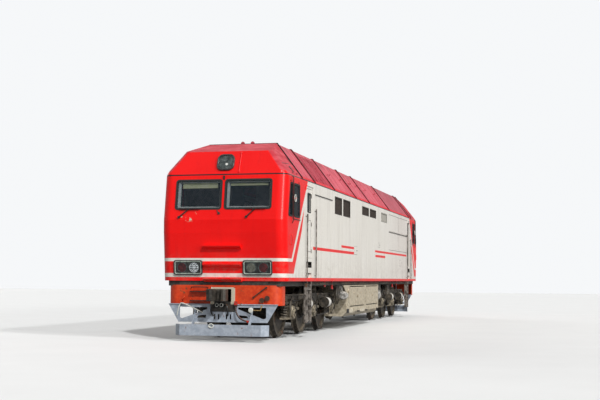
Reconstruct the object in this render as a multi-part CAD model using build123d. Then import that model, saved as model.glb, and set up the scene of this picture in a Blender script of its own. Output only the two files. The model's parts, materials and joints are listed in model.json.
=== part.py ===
from build123d import *
import os
from math import copysign, hypot, radians, tan

# Two-cab diesel locomotive on two three-axle bogies, in millimetres.
# X runs forward, Y to the left and Z up. Z is zero at the tips of the wheel flanges.

os.makedirs("parts", exist_ok=True)

# Wheels and axles
wheel_radius = 610
flange_height = 30
flange_width = 33
back_to_back = 1440
tyre_width = 140
rim_depth = 78
web_thickness = 34
hub_radius = 165
hub_overhang = 22
axle_radius = 95
journal_radius = 75
journal_end = 1150
running_gap = 0.3

# Bogies
pivot_x = 6250
axle_pitch = 2150
side_frame_y = 1065
side_frame_width = 150
side_frame_bottom = 890
side_frame_depth = 200
side_frame_overhang = 560
transom_x = 1075
transom_width = 260
transom_depth = 150
spring_offset = 330
spring_radius = 95
spring_wire = 30
wing_top = 520
wing_thickness = 45
box_half_length = 180
box_half_height = 170
box_inner_y = 985
box_outer_y = 1185
cover_radius = 150
cover_depth = 55
motor_radius = 330
motor_half_length = 600
motor_offset = 700
motor_drop = 40
motor_lug = 160
shoe_gap = 7
shoe_depth = 60
shoe_width = 90
shoe_half_angle = 17
pin_radius = 150
pin_bottom = 1000
pin_end_gap = 20
bearer_x = 330
bearer_radius = 135
brake_cylinder_radius = 130
brake_cylinder_length = 360
brake_cylinder_x = 1075
brake_cylinder_z = 840
cylinder_gap = 8
cylinder_flange = 15
piston_reach = 130
piston_radius = 22
lever_drop = 280
spring_cup = 22
cup_rim = 17
flange_stand = 20
rib_places = [620, 1530, 2080]
rib_thickness = 16
damper_offset = 250
damper_y = 1195
damper_radius = 38
damper_rod = 22
damper_split = 700
damper_top = 940
ear_half = 45
ear_rim = 7
link_reach = 590
link_height = 60
link_inner_y = 1165
link_outer_y = 1205
link_z = 730
bracket_length = 70
cap_radius = 85
cap_depth = 20

# Body
half_width = 1543
sill_bottom = 1420
eave_z = 3945
roof_half_width = 880
roof_top = 4830
wall = 60
cab_back = 8850
nose_corner = 250
brow_corner = 160
corner_clearance = 8
rib_height = 25
rib_width = 40

# Nose profile, from the sill up: how far forward at which height
nose_sill_x = 10300
nose_waist_x = 10420
nose_waist_z = 2550
nose_crease_x = 10430
nose_crease_z = 2860
nose_eave_x = 10280
nose_brow_x = 10050
nose_brow_drop = 310
nose_roof_x = 8945

# Ledges across the nose
step_places = [1460, 1800, 2230]
step_half_width = 470
step_depth = 110
step_edge = 30

# Underframe
sill_inset = 143
frame_bottom = 1300
end_beam_half = 1100
end_beam_depth = 150
bolster_margin = 60
deck_top = 1600
plate = 40
beam_width = 120
centre_beam_y = 360
cross_beam_pitch = 1700
floor_top = 2000
bulkhead_x = 8740
engine_wall_x = 7700
lug_places = [(5000, 200), (5900, 130)]
lug_width = 110
lug_thickness = 30
pad_length = 220
pad_width = 120
pad_thickness = 25
bulkhead_door_width = 640
bulkhead_door_height = 1850

# Windows
screen_gap = 60
screen_width = 1170
screen_low = 3100
screen_high = 3830
screen_corner = 70
rubber_width = 45
rubber_depth = 36
rubber_stand = 10
glass_thickness = 14
side_window_low = 2950
side_window_high = 3775
side_window_corner = 60
# Cab side windows: back edge, then the front edge at the foot and at the top
side_windows = [
    (9090, 9630, 9630),
    (9760, 10160, 9980),
]

# Lamps: a rounded square headlight in the brow, and a cluster of two each side of the nose
headlight_z = 4235
headlight_size = 430
headlight_corner = 140
headlight_rim = 25
headlight_depth = 35
cluster_y = 860
cluster_z = 1735
cluster_width = 720
cluster_height = 350
cluster_rim = 30
cluster_depth = 28
cluster_lamp_y = 150
cluster_lamp_radius = 125

# Wipers: where each foot is, and how far sideways and up its blade sits
wiper_places = [(-1080, 260), (600, 220)]
wiper_foot = 60
wiper_foot_radius = 28
wiper_blade = 262
wiper_length = 480
wiper_width = 18

# Entrance doors
door_back = 7840
door_front = 8430
door_sill = 2000
door_head = 3750
door_thickness = 45
door_recess = 8
door_gap = 10
door_pivot_inset = 10
door_pin_radius = 8
door_window_low = 3160
door_window_high = 3630
door_window_margin = 125
pocket_low = 1480
pocket_height = 150
pocket_pitch = 280
pocket_depth = 200
pocket_wall = 12

# Side wall louvres: back, front, low, high
louvres = [
    (4310, 5220, 3300, 3790),
    (3160, 4130, 3300, 3790),
    (250, 1340, 3510, 3780),
    (-1020, 50, 3510, 3780),
    (-3130, -2000, 3470, 3790),
]
louvre_frame = 35
louvre_pitch = 80
slat_thickness = 8

# Shallow panels on the wall beside the radiators: back, front, low, high
cooler_panels = [
    (-7570, -5610, 3200, 3810),
    (-5550, -3610, 3200, 3810),
    (-7570, -5610, 2530, 3170),
    (-5550, -3610, 2530, 3170),
]
panel_groove = 14
groove_depth = 8

# Small recessed hatches in the side walls: back, front, low, high
wall_hatches = [
    (2050, 2520, 2230, 2470),
    (-1790, -1450, 2570, 2710),
    (-6350, -5930, 2000, 2220),
]
hatch_depth = 20

# Roof sections, front to back: where each begins, and its kind
roof_joints = [
    (8850, "plain"),
    (7500, "intake"),
    (5210, "plain"),
    (2220, "plain"),
    (60, "plain"),
    (-3690, "cooling"),
    (-8270, "plain"),
    (-8850, "end"),
]
intake_bar_pitch = 115
intake_bar_width = 34
intake_bar_drop = 40
fan_places = [-4640, -6580]
fan_radius = 770
fan_gap = 25
fan_drop = 270
fan_thickness = 130
fan_hub_radius = 210
fan_blades = 8
guard_bar = 24

# Fuel tank and battery boxes
tank_back = -1880
tank_front = 3290
tank_bottom = 380
tank_stand_out = 60
tank_chamfer = 130
battery_boxes = [(540, 2790), (-1770, 230)]
battery_low = 650
battery_high = 1275
battery_depth = 420
lid_thickness = 30
lid_gap = 30
lid_seam = 12
seam_depth = 8
lid_pin_radius = 10
lid_stand = 4
knob_radius = 45
knob_stand = 25

tank_gusset_front = 3620
tank_gusset_low = 1090
gusset_thickness = 25
filler_x = 3040
filler_z = 1130
filler_radius = 60
filler_stand = 45
gauge_x = 3130
gauge_low = 620
gauge_high = 960
gauge_width = 60
gauge_stand = 14
sump_places = [-1100, 700, 2400]
sump_half = 170
sump_drop = 45

# Couplers and ends
coupler_z = 1090
coupler_tip = 10850
coupler_pivot_x = 9700
coupler_eye_radius = 110
coupler_pin_radius = 45
shank_width = 130
shank_height = 180
head_height = 290
guide_width = 600
guide_low = 700
guide_high = 1270
guide_front = 10320
guide_corner = 60
guide_mouth = 215
draft_half_width = 260
draft_plate = 30
draft_bottom = 900
apron_low = 850
apron_high = 1320
apron_inset = 143
apron_x = 10290
apron_thickness = 20
apron_corner = 260
apron_return = 420
lever_y = 760
lever_reach = 310
lever_low = 1040
lever_high = 1270
lever_stand = 40
lever_radius = 14
tread_back = -790
tread_front = -360
tread_places = [940, 1160]
tread_reach = 110
tread_thickness = 20
tread_side = 60
socket_places = [(970, 970), (1100, 1020)]
socket_radius = 52
socket_length = 45
socket_cap = 62
hose_radius = 20
# Brake hose: points ahead of the apron, across and up, from the cock to the coupling on its hook
hose_route = [(75, 345, 840), (105, 352, 740), (128, 392, 640), (130, 455, 560), (112, 540, 505), (80, 635, 478)]
hose_arc_share = 0.45
cock_half = 32
cock_low = 885
coupling_half = 25
coupling_length = 50
hook_thickness = 14
plow_top_half = 1360
plow_foot_half = 1100
plow_low = 450
plow_high = 880
plow_holes = [
    [(380, 760), (380, 800), (1070, 800), (1070, 560), (1010, 530), (700, 640)],
    [(420, 550), (400, 620), (600, 605), (640, 550)],
    [(80, 520), (80, 640), (120, 640), (120, 520)],
    [(175, 520), (175, 640), (215, 640), (215, 520)],
]
plow_lip = 40
blade_low = 140
blade_high = 400
blade_half = 1150
blade_fold = 1000
blade_x = 10500

# Ladders under the doors and rails beside them
ladder_back = 7760
ladder_front = 8190
ladder_gap = 25
ladder_depth = 95
ladder_low = 390
ladder_rail = 45
ladder_pitch = 390
rung = 30
rail_radius = 16
rail_stand = 45
rail_foot = 60
# Handrails: place along the body, low end, high end
rail_places = [
    (8490, 1500, 3100),
    (7560, 1500, 3280),
]

# Driver's desk and seats
desk_back = 9650
desk_front = 10240
desk_half = 1330
desk_low = 750
desk_high = 960
desk_lip = 60
seat_x = 9180
seat_y = 680
seat_height = 400
seat_post = 60
seat_half = 240
seat_pad = 120
seat_back_height = 720
seat_back_thickness = 110
seat_recline = 8

# Main engine and generator, as one block
engine_back = -2600
engine_front = 3900
engine_half = 720
engine_top = 3350

# Boxes and vents on the roof: back, front, half width, height
roof_boxes = [
    (4200, 4900, 420, 120),
    (600, 1900, 350, 170),
    (-1800, -600, 480, 110),
    (-3300, -2500, 300, 140),
]
box_edge = 25
# Exhaust stack behind the silencer box, and a pair of horns behind each cab
stack_x = 2900
stack_radius = 150
stack_wall = 12
stack_height = 140
horn_x = 8150
horn_y = 130
horn_length = 320
horn_radius = 55
horn_z = 75

# Air reservoirs under the frame
reservoir_back = -3300
reservoir_front = -1990
reservoir_inset = 280
reservoir_z = 930
reservoir_radius = 200
strap_width = 60
strap_inset = 200
small_reservoir_back = 3400
small_reservoir_front = 3700
small_reservoir_out = 30
small_reservoir_z = 1000
small_reservoir_radius = 120

# Sizes that follow from the ones above
nose_brow_z = roof_top - nose_brow_drop
fan_z = roof_top - fan_drop
frame_half_width = half_width - sill_inset
tank_half_width = frame_half_width + tank_stand_out
apron_half_width = half_width - apron_inset
inner_half_width = half_width - wall


def block(x0, x1, y0, y1, z0, z1):
    return Pos((x0 + x1) / 2, (y0 + y1) / 2, (z0 + z1) / 2) * Box(x1 - x0, y1 - y0, z1 - z0)


def rod(start, end, radius):
    run = Vector(*end) - Vector(*start)
    return extrude(Plane(origin=start, z_dir=run) * Circle(radius), amount=run.length)


def across(shape):
    return mirror(shape, Plane.XZ)


def endwise(shape):
    return mirror(shape, Plane.YZ)


def both_sides(shapes):
    return list(shapes) + [across(shape) for shape in shapes]


def both_ends(shapes):
    return list(shapes) + [endwise(shape) for shape in shapes]


def write(name, shapes):
    solids = [solid for shape in shapes for solid in shape.solids()]
    export_step(Compound(children=solids), f"parts/{name}.step")


# The body's outline across, moved inwards by a wall, or outwards by a rib
def section(inset):
    outline = Polyline(
        (-half_width, sill_bottom), (-half_width, eave_z), (-roof_half_width, roof_top),
        (roof_half_width, roof_top), (half_width, eave_z), (half_width, sill_bottom), close=True)
    face = make_face(Plane.YZ * outline)
    return offset(face, -inset, kind=Kind.INTERSECTION) if inset else face


def body_slice(x0, x1, inset=0):
    return Pos(x0, 0, 0) * extrude(section(inset), amount=x1 - x0, dir=(1, 0, 0))


def wheelset(x):
    inner = back_to_back / 2
    outer = inner + tyre_width
    tip = wheel_radius + flange_height
    rim = wheel_radius - rim_depth
    web_in = inner + (tyre_width - web_thickness) / 2
    web_out = web_in + web_thickness
    half = [
        (axle_radius, 0), (axle_radius, inner - hub_overhang), (hub_radius, inner - hub_overhang),
        (hub_radius, web_in - 20), (rim - 30, web_in), (rim, inner), (tip - 12, inner), (tip, inner + 10),
        (tip - 6, inner + 20), (wheel_radius, inner + flange_width), (wheel_radius - 6, outer),
        (rim, outer), (rim - 30, web_out), (hub_radius, web_out + 20), (hub_radius, outer + hub_overhang),
        (journal_radius + 15, outer + hub_overhang), (journal_radius + 15, box_inner_y - 20),
        (journal_radius, box_inner_y - 20), (journal_radius, journal_end), (0, journal_end)]
    outline = half + [(r, -y) for r, y in reversed(half) if y > 0]
    wheels = revolve(make_face(Polyline(*outline, close=True)), Axis.Y)
    return Pos(x, 0, wheel_radius + flange_height) * wheels


axle_z = wheel_radius + flange_height
frame_top = side_frame_bottom + side_frame_depth
transom_bottom = frame_top - transom_depth
axle_places = [axle_pitch, 0, -axle_pitch]


# One bogie about its pivot; the other end's is the same one mirrored
def bogie_frame():
    half = axle_pitch + side_frame_overhang
    top = frame_top
    drop = side_frame_bottom - 70
    outline = Polyline(
        (-half, side_frame_bottom + 60), (-half + 180, side_frame_bottom),
        (-axle_pitch + 430, side_frame_bottom),
        (-axle_pitch + 560, drop), (-560, drop), (-430, side_frame_bottom), (430, side_frame_bottom),
        (560, drop), (axle_pitch - 560, drop), (axle_pitch - 430, side_frame_bottom),
        (half - 180, side_frame_bottom), (half, side_frame_bottom + 60), (half, top - 40),
        (half - 60, top), (-half + 60, top), (-half, top - 40), close=True)
    side = extrude(Plane.XZ * make_face(outline), amount=side_frame_width / 2, both=True)
    inner = side_frame_y - side_frame_width / 2
    frame = Pos(0, side_frame_y, 0) * side + Pos(0, -side_frame_y, 0) * side
    for x in (-transom_x, transom_x):
        frame += block(x - transom_width / 2, x + transom_width / 2, -inner, inner, transom_bottom, top)
    bolster = block(-transom_x + transom_width / 2, transom_x - transom_width / 2, -260, 260,
                    transom_bottom, top - 30)
    frame += bolster
    frame += Pos(0, 0, (pin_bottom - 60 + top) / 2) * Cylinder(pin_radius + 70, top - pin_bottom + 60)
    bore_top = top + 100
    frame -= Pos(0, 0, (pin_bottom + bore_top) / 2) * Cylinder(pin_radius + running_gap, bore_top - pin_bottom)
    outer = side_frame_y + side_frame_width / 2
    fittings = [
        block(-half + 60, half - 60, inner, outer + flange_stand, top - flange_stand, top)]
    for x in axle_places:
        for offset_x in (-spring_offset, spring_offset):
            cup = rod((0, 0, -spring_cup), (0, 0, 25), spring_radius + cup_rim)
            fittings.append(Pos(x + offset_x, side_frame_y, side_frame_bottom) * cup)
    for x in rib_places:
        for place in (-x, x):
            fittings.append(block(place - rib_thickness / 2, place + rib_thickness / 2, outer,
                                  outer + flange_stand, side_frame_bottom + 10, top))
    for x in (-brake_cylinder_x, brake_cylinder_x):
        fittings += brake_cylinder(x, copysign(1, x), outer)
    for x in (-axle_pitch - damper_offset, axle_pitch + damper_offset):
        fittings.append(rod((x, damper_y, wing_top), (x, damper_y, damper_split), damper_rod))
        fittings.append(rod((x, damper_y, damper_split), (x, damper_y, damper_top), damper_radius))
        fittings.append(block(x - ear_half, x + ear_half, outer - 10, damper_y + damper_radius + ear_rim,
                              damper_top, damper_top + 50))
    for x in link_ends():
        fittings.append(block(x - bracket_length / 2, x + bracket_length / 2, side_frame_y, link_inner_y,
                              link_z - link_height / 2, side_frame_bottom + 10))
    for shape in both_sides(fittings):
        frame += shape
    return [frame]


# Where the links of the axleboxes end, along the bogie
def link_ends():
    reach = link_reach - bracket_length / 2
    return [-axle_pitch + reach, -reach, axle_pitch - reach]


# Brake cylinder on the side frame, with its piston rod and lever
def brake_cylinder(x, way, outer):
    y = outer + cylinder_gap + brake_cylinder_radius
    z = brake_cylinder_z
    half = brake_cylinder_length / 2
    shapes = [rod((x - half, y, z), (x + half, y, z), brake_cylinder_radius)]
    for end in (x - half, x + half):
        shapes.append(rod((end - 11, y, z), (end + 11, y, z), brake_cylinder_radius + cylinder_flange))
    shapes.append(block(x - half / 2, x + half / 2, outer - 10, y, z - 60, z + 60))
    tip = x + way * (half + piston_reach)
    shapes.append(rod((x, y, z), (tip, y, z), piston_radius))
    low, high = sorted((tip, tip + way * 30))
    shapes.append(block(low, high, y - 25, y + 25, z - lever_drop, z + 50))
    shapes.append(block(low, high, outer - 10, y + 25, z + 50, z + 80))
    return shapes


def springs():
    height = side_frame_bottom - spring_cup - wing_top
    turns = 5
    pitch = height / turns
    core = spring_radius - spring_wire
    outline = [(0, 0)]
    for turn in range(turns):
        low = turn * pitch
        outline += [(core, low), (spring_radius, low + pitch * 0.28), (spring_radius, low + pitch * 0.72)]
    outline += [(core, height), (0, height)]
    coil = revolve(make_face(Plane.XZ * Polyline(*outline, close=True)), Axis.Z)
    shapes = [
        Pos(x + offset_x, y, wing_top) * coil
        for x in axle_places for offset_x in (-spring_offset, spring_offset)
        for y in (-side_frame_y, side_frame_y)]
    bearer = Cylinder(bearer_radius, frame_bottom - frame_top)
    shapes += [
        Pos(x, y, (frame_bottom + frame_top) / 2) * bearer
        for x in (-bearer_x, bearer_x) for y in (-side_frame_y, side_frame_y)]
    return shapes


def axleboxes():
    boxes = []
    for x in axle_places:
        body = block(x - box_half_length, x + box_half_length, box_inner_y, box_outer_y,
                     axle_z - box_half_height, axle_z + box_half_height)
        body = fillet(body.edges().filter_by(Axis.Y), 50)
        wing = block(x - spring_offset - spring_radius, x + spring_offset + spring_radius,
                     side_frame_y - spring_radius + 10, side_frame_y + spring_radius - 10,
                     wing_top - wing_thickness, wing_top)
        body += wing
        body += rod((x, box_outer_y, axle_z), (x, box_outer_y + cover_depth, axle_z), cover_radius)
        cap_y = box_outer_y + cover_depth + cap_depth
        body += rod((x, box_outer_y, axle_z), (x, cap_y, axle_z), cap_radius)
        if x:
            ear = x + copysign(damper_offset, x)
            body += block(ear - ear_half, ear + ear_half, side_frame_y, damper_y + damper_radius + ear_rim,
                          wing_top - wing_thickness, wing_top)
        way = -1 if x >= 0 else 1
        low, high = sorted((x + way * box_half_length / 2, x + way * link_reach))
        body += block(low, high, link_inner_y, link_outer_y,
                      link_z - link_height / 2, link_z + link_height / 2)
        body -= rod((x, box_inner_y - 5, axle_z), (x, journal_end + 5, axle_z), journal_radius + running_gap)
        boxes.append(body)
    return both_sides(boxes)


def motors():
    places = [(axle_pitch, -1), (0, -1), (-axle_pitch, 1)]
    shapes = []
    for x, side in places:
        centre = x + side * motor_offset
        z = axle_z - motor_drop
        barrel = rod((centre, -motor_half_length, z), (centre, motor_half_length, z), motor_radius)
        transom = copysign(transom_x, centre)
        low = max(centre - motor_radius, transom - transom_width / 2) + 5
        high = min(centre + motor_radius, transom + transom_width / 2) - 5
        barrel += block(low, high, -motor_lug, motor_lug, z, transom_bottom)
        shapes.append(barrel)
    return shapes


def brake_gear():
    shapes = []
    inner = wheel_radius + shoe_gap
    y0 = back_to_back / 2 + flange_width + 8
    for x, side in [(axle_pitch, -1), (0, 1), (-axle_pitch, 1)]:
        arc = CenterArc((0, 0), inner, -shoe_half_angle, 2 * shoe_half_angle)
        outer = CenterArc((0, 0), inner + shoe_depth, -shoe_half_angle, 2 * shoe_half_angle)
        outline = [arc, Line(arc @ 1, outer @ 1), outer, Line(outer @ 0, arc @ 0)]
        shoe = extrude(Plane.XZ * make_face(outline), amount=shoe_width, dir=(0, 1, 0))
        shoe = Pos(0, y0, 0) * shoe
        hanger = block(inner + 15, inner + shoe_depth, y0 + 20, y0 + shoe_width - 20,
                       100, side_frame_bottom - axle_z + 60)
        arm = block(inner + 15, inner + shoe_depth, y0 + 20, side_frame_y - side_frame_width / 2,
                    side_frame_bottom - axle_z + 20, side_frame_bottom - axle_z + 60)
        brake = shoe + hanger + arm
        if side < 0:
            brake = endwise(brake)
        shapes.append(Pos(x, 0, axle_z) * brake)
    return both_sides(shapes)


for end, place in (("front", 1), ("rear", -1)):
    for name, maker in (("bogie_frame", bogie_frame), ("bogie_springs", springs), ("axleboxes", axleboxes),
                        ("traction_motors", motors), ("brake_gear", brake_gear)):
        shapes = [Pos(pivot_x, 0, 0) * shape for shape in maker()]
        write(f"{name}_{end}", shapes if place > 0 else [endwise(shape) for shape in shapes])

wheel_places = [pivot + step for pivot in (pivot_x, -pivot_x) for step in axle_places]
for number, x in enumerate(wheel_places, 1):
    write(f"wheelset_{number}", [wheelset(x)])


length_over_frame = nose_sill_x - wall - 0.5


# What fits between the body's walls and inside its rounded ends, seen from above
def inner_plan(half_length, low, high):
    corner = nose_corner - wall + corner_clearance
    outline = RectangleRounded(2 * half_length, 2 * inner_half_width, corner)
    return Pos(0, 0, low) * extrude(outline, amount=high - low, dir=(0, 0, 1))


# Underframe: deck, sills, cross beams, end beams, body bolsters and lifting lugs
def underframe():
    length = length_over_frame
    beam_top = deck_top - plate
    frame = block(-length, length, -inner_half_width, inner_half_width, beam_top, deck_top)
    for y in (-centre_beam_y, centre_beam_y):
        frame += block(-length, length, y - beam_width / 2, y + beam_width / 2, frame_bottom, beam_top)
    for side in (-1, 1):
        low, high = sorted((side * (frame_half_width - beam_width), side * frame_half_width))
        frame += block(-length, length, low, high, frame_bottom, beam_top)
        low, high = sorted((side * frame_half_width, side * inner_half_width))
        frame += block(-length, length, low, high, sill_bottom, beam_top)
    count = round(2 * length / cross_beam_pitch)
    for number in range(count + 1):
        x = -length + beam_width / 2 + number * (2 * length - beam_width) / count
        frame += block(x - beam_width / 2, x + beam_width / 2, -frame_half_width, frame_half_width,
                       frame_bottom, beam_top)
    frame &= inner_plan(length, frame_bottom, deck_top)
    reach = bearer_x + bearer_radius + bolster_margin
    ends = [
        block(length - end_beam_depth, apron_x - apron_thickness, -end_beam_half, end_beam_half,
              frame_bottom, sill_bottom),
        block(pivot_x - reach, pivot_x + reach, -frame_half_width, frame_half_width, frame_bottom, beam_top)]
    for shape in both_ends(ends) + both_sides(both_ends(lifting_lugs(beam_top))):
        frame += shape
    return [frame]


# Lugs on the left side of the front half; the long one ends in a jacking pad
def lifting_lugs(beam_top):
    shapes = []
    inner, face, outer = (frame_half_width + y for y in (-lug_thickness, 0, lug_thickness))
    for x, drop in lug_places:
        back, front = x - lug_width / 2, x + lug_width / 2
        foot = sill_bottom - drop
        shapes.append(block(back, front, face, outer, foot, beam_top))
        if foot < frame_bottom:
            shapes.append(block(back, front, inner, face, foot, frame_bottom))
            shapes.append(block(x - pad_length / 2, x + pad_length / 2, outer - pad_width, outer,
                                foot - pad_thickness, foot))
    return shapes


write("underframe", underframe())
write("bogie_pivots", both_ends([
    Pos(pivot_x, 0, (pin_bottom + pin_end_gap + frame_bottom) / 2)
    * Cylinder(pin_radius, frame_bottom - pin_bottom - pin_end_gap)]))

# Raised floors of the cabs and vestibules, between the walls that stand on the deck
floor_front = length_over_frame - plate
floor_low = floor_top - plate
write("cab_floors", both_ends([
    block(engine_wall_x + plate, bulkhead_x, -inner_half_width, inner_half_width, floor_low, floor_top),
    block(bulkhead_x + plate, floor_front, -inner_half_width, inner_half_width, floor_low, floor_top)
    & inner_plan(floor_front, floor_low, floor_top)]))


# Nose outline along the body; the back and the foot stay open inside
def nose_profile(inset):
    back = cab_back - inset
    foot = sill_bottom - inset
    slope = (nose_waist_x - nose_sill_x) / (nose_waist_z - sill_bottom)
    outline = Polyline(
        (back, foot), (nose_sill_x - inset * slope, foot), (nose_waist_x, nose_waist_z),
        (nose_crease_x, nose_crease_z), (nose_eave_x, eave_z), (nose_brow_x, nose_brow_z),
        (nose_roof_x, roof_top), (back, roof_top), close=True)
    face = make_face(Plane.XZ * outline)
    return offset(face, -inset, kind=Kind.INTERSECTION) if inset else face


def corner_edges(solid, inset, low):
    edges = []
    for edge in solid.edges():
        place = edge.center()
        upright = abs(edge.tangent_at(0.5).Z) > 0.5
        if place.X > nose_brow_x and abs(place.Y) > roof_half_width + wall and upright:
            if (abs(place.Y) > half_width - inset - 2) if low else (place.Z > eave_z + 40):
                edges.append(edge)
    return edges


def cab_body(inset):
    solid = extrude(nose_profile(inset), amount=half_width, both=True)
    half = half_width - inset
    solid &= body_slice(cab_back - 1, nose_crease_x + 1, inset) + block(
        cab_back - 1, nose_crease_x + 1, -half, half, sill_bottom - 1, eave_z - 200)
    solid = fillet(corner_edges(solid, inset, True), nose_corner - inset)
    return fillet(corner_edges(solid, inset, False), brow_corner - inset)


def face_plane(x0, z0, x1, z1):
    return Plane(origin=(x0, 0, z0), x_dir=(0, 1, 0), z_dir=(z1 - z0, 0, x0 - x1))


screen_plane = face_plane(nose_crease_x, nose_crease_z, nose_eave_x, eave_z)
nose_plane = face_plane(nose_sill_x, sill_bottom, nose_waist_x, nose_waist_z)
brow_plane = face_plane(nose_eave_x, eave_z, nose_brow_x, nose_brow_z)
screen_scale = hypot(nose_crease_x - nose_eave_x, eave_z - nose_crease_z) / (eave_z - nose_crease_z)
screen_height = (screen_high - screen_low) * screen_scale
screen_middle = ((screen_high + screen_low) / 2 - nose_crease_z) * screen_scale
screen_y = (screen_gap + screen_width) / 2


def screen(inset, low, high):
    corner = max(screen_corner - inset, 20)
    shape = RectangleRounded(screen_width - 2 * inset, screen_height - 2 * inset, corner)
    place = Plane(screen_plane.location * Pos(0, 0, low))
    return [
        extrude(place * Pos(y, screen_middle) * shape, amount=high - low)
        for y in (-screen_y, screen_y)]


def side_window(inset, low, high):
    shapes = []
    for back, foot, top in side_windows:
        outline = Polyline((back, side_window_low), (foot, side_window_low), (top, side_window_high),
                           (back, side_window_high), close=True)
        face = make_face(outline)
        if inset:
            face = offset(face, -inset, kind=Kind.INTERSECTION)
        face = fillet(face.vertices(), max(side_window_corner - inset, 15))
        shapes.append(Pos(0, low, 0) * extrude(Plane.XZ * face, amount=high - low, dir=(0, 1, 0)))
    return both_sides(shapes)


def cab():
    shell = cab_body(0) - cab_body(wall)
    for cut in screen(0, -2 * wall, wall) + side_window(0, half_width - 2 * wall, half_width + wall):
        shell -= cut
    return shell


def nose_steps():
    shapes = []
    slope = (nose_waist_x - nose_sill_x) / (nose_waist_z - sill_bottom)
    for z in step_places:
        x = nose_sill_x + (z - sill_bottom) * slope
        outline = Polyline((-wall / 2, -step_depth * 0.6), (0, -step_depth * 0.6), (step_depth, 0),
                           (step_depth, step_edge), (-wall / 2, step_edge), close=True)
        ledge = extrude(Plane.XZ * make_face(outline), amount=step_half_width, both=True)
        shapes.append(Pos(x, 0, z) * ledge)
    return shapes


cab_shell = cab()
for step in nose_steps():
    cab_shell += step
write("cab_front", [cab_shell])
write("cab_rear", [endwise(cab_shell)])


def ring(make, low, high):
    return [outer - inner for outer, inner in zip(make(0, low, high), make(rubber_width, low, high))]


side_low = half_width - rubber_depth
write("window_rubbers", both_ends(
    ring(screen, -rubber_depth, rubber_stand) + ring(side_window, side_low, half_width + rubber_stand)))
glass_low = -rubber_depth / 2
write("cab_glass", both_ends(
    screen(rubber_width, glass_low, glass_low + glass_thickness)
    + side_window(rubber_width, half_width + glass_low, half_width + glass_low + glass_thickness)))


door_pivot_x = door_back + door_gap + door_pivot_inset
door_pivot_y = half_width - door_recess - door_thickness + door_pivot_inset


# Side wall with its openings, step pockets and louvres
def side_wall():
    inner = inner_half_width
    shell = block(-cab_back, cab_back, inner, half_width, sill_bottom, eave_z)
    for side in (-1, 1):
        low, high = sorted((side * door_back, side * door_front))
        shell -= block(low, high, inner - 1, half_width + 1, door_sill, door_head)
        for start, end in ((door_sill - 5, door_sill + door_gap - running_gap),
                           (door_head - door_gap + running_gap, door_head + 5)):
            place = (side * door_pivot_x, door_pivot_y)
            shell += rod((*place, start), (*place, end), door_pin_radius)
        for step in range(2):
            z0 = pocket_low + step * pocket_pitch
            box = (low + 20, high - 20, half_width - pocket_depth, half_width + 1, z0, z0 + pocket_height)
            if z0 > deck_top:
                shell += block(box[0] - pocket_wall, box[1] + pocket_wall, box[2] - pocket_wall, inner,
                               z0 - pocket_wall, z0 + pocket_height + pocket_wall)
            else:
                box = (box[0], box[1], inner + pocket_wall, box[3], box[4], box[5])
            shell -= block(*box)
    for back, front, low, high in louvres:
        shell -= block(back, front, inner - 1, half_width + 1, low, high)
    for back, front, low, high in cooler_panels:
        groove = block(back, front, half_width - groove_depth, half_width + 1, low, high)
        groove -= block(back + panel_groove, front - panel_groove, half_width - groove_depth - 1,
                        half_width + 2, low + panel_groove, high - panel_groove)
        shell -= groove
    for back, front, low, high in wall_hatches:
        shell -= block(back, front, half_width - hatch_depth, half_width + 1, low, high)
    return shell


left_wall = side_wall()
write("wall_left", [left_wall])
write("wall_right", [across(left_wall)])


def louvre_set():
    shapes = []
    y0 = half_width - wall
    y1 = half_width + 6
    for back, front, low, high in louvres:
        frame = block(back, front, y0, y1, low, high)
        frame -= block(back + louvre_frame, front - louvre_frame, y0 - 1, y1 + 1,
                       low + louvre_frame, high - louvre_frame)
        count = round((front - back - 2 * louvre_frame) / louvre_pitch)
        for number in range(1, count):
            x = back + louvre_frame + number * (front - back - 2 * louvre_frame) / count
            slat = Box(slat_thickness, 62, high - low - louvre_frame)
            frame += Pos(x, (y0 + half_width) / 2, (low + high) / 2) * Rot(0, 0, 38) * slat
        shapes.append(frame)
    return both_sides(shapes)


write("side_louvres", louvre_set())


fan_low = fan_z - 15
fan_high = roof_top - guard_bar - 20


# Roof sections between the joints, each with a raised rib at its ends
def roof_section(front, back):
    above = block(back, front, -half_width, half_width, eave_z, roof_top + rib_height)
    shell = body_slice(back, front) - body_slice(back - 1, front + 1, wall)
    ribs = body_slice(back, front, -rib_height)
    ribs -= body_slice(back + rib_width, front - rib_width, -rib_height - 1)
    ribs -= body_slice(back - 1, front + 1)
    return (shell + ribs) & above


roof_run = roof_half_width - half_width
roof_rise = roof_top - eave_z
slope_length = hypot(roof_run, roof_rise)
slope_plane = Plane(origin=(0, half_width, eave_z), x_dir=(-1, 0, 0), z_dir=(0, roof_rise, -roof_run))


def intake_roof(front, back):
    shell = roof_section(front, back)
    margin = 120
    length = front - back - 2 * margin
    height = slope_length - 2 * margin
    hole = extrude(slope_plane * Pos(-(front + back) / 2, slope_length / 2) * Rectangle(length, height),
                   amount=2 * wall, both=True)
    bars = None
    count = round(length / intake_bar_pitch)
    for number in range(1, count):
        x = back + margin + number * length / count
        place = Plane(slope_plane.location * Pos(-x, slope_length / 2, -intake_bar_drop))
        strip = extrude(place * Rectangle(intake_bar_width, height + 20), amount=intake_bar_drop + 8)
        bars = strip if bars is None else bars + strip
    for side in (lambda s: s, across):
        shell -= side(hole)
        shell += side(bars)
    return shell


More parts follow.
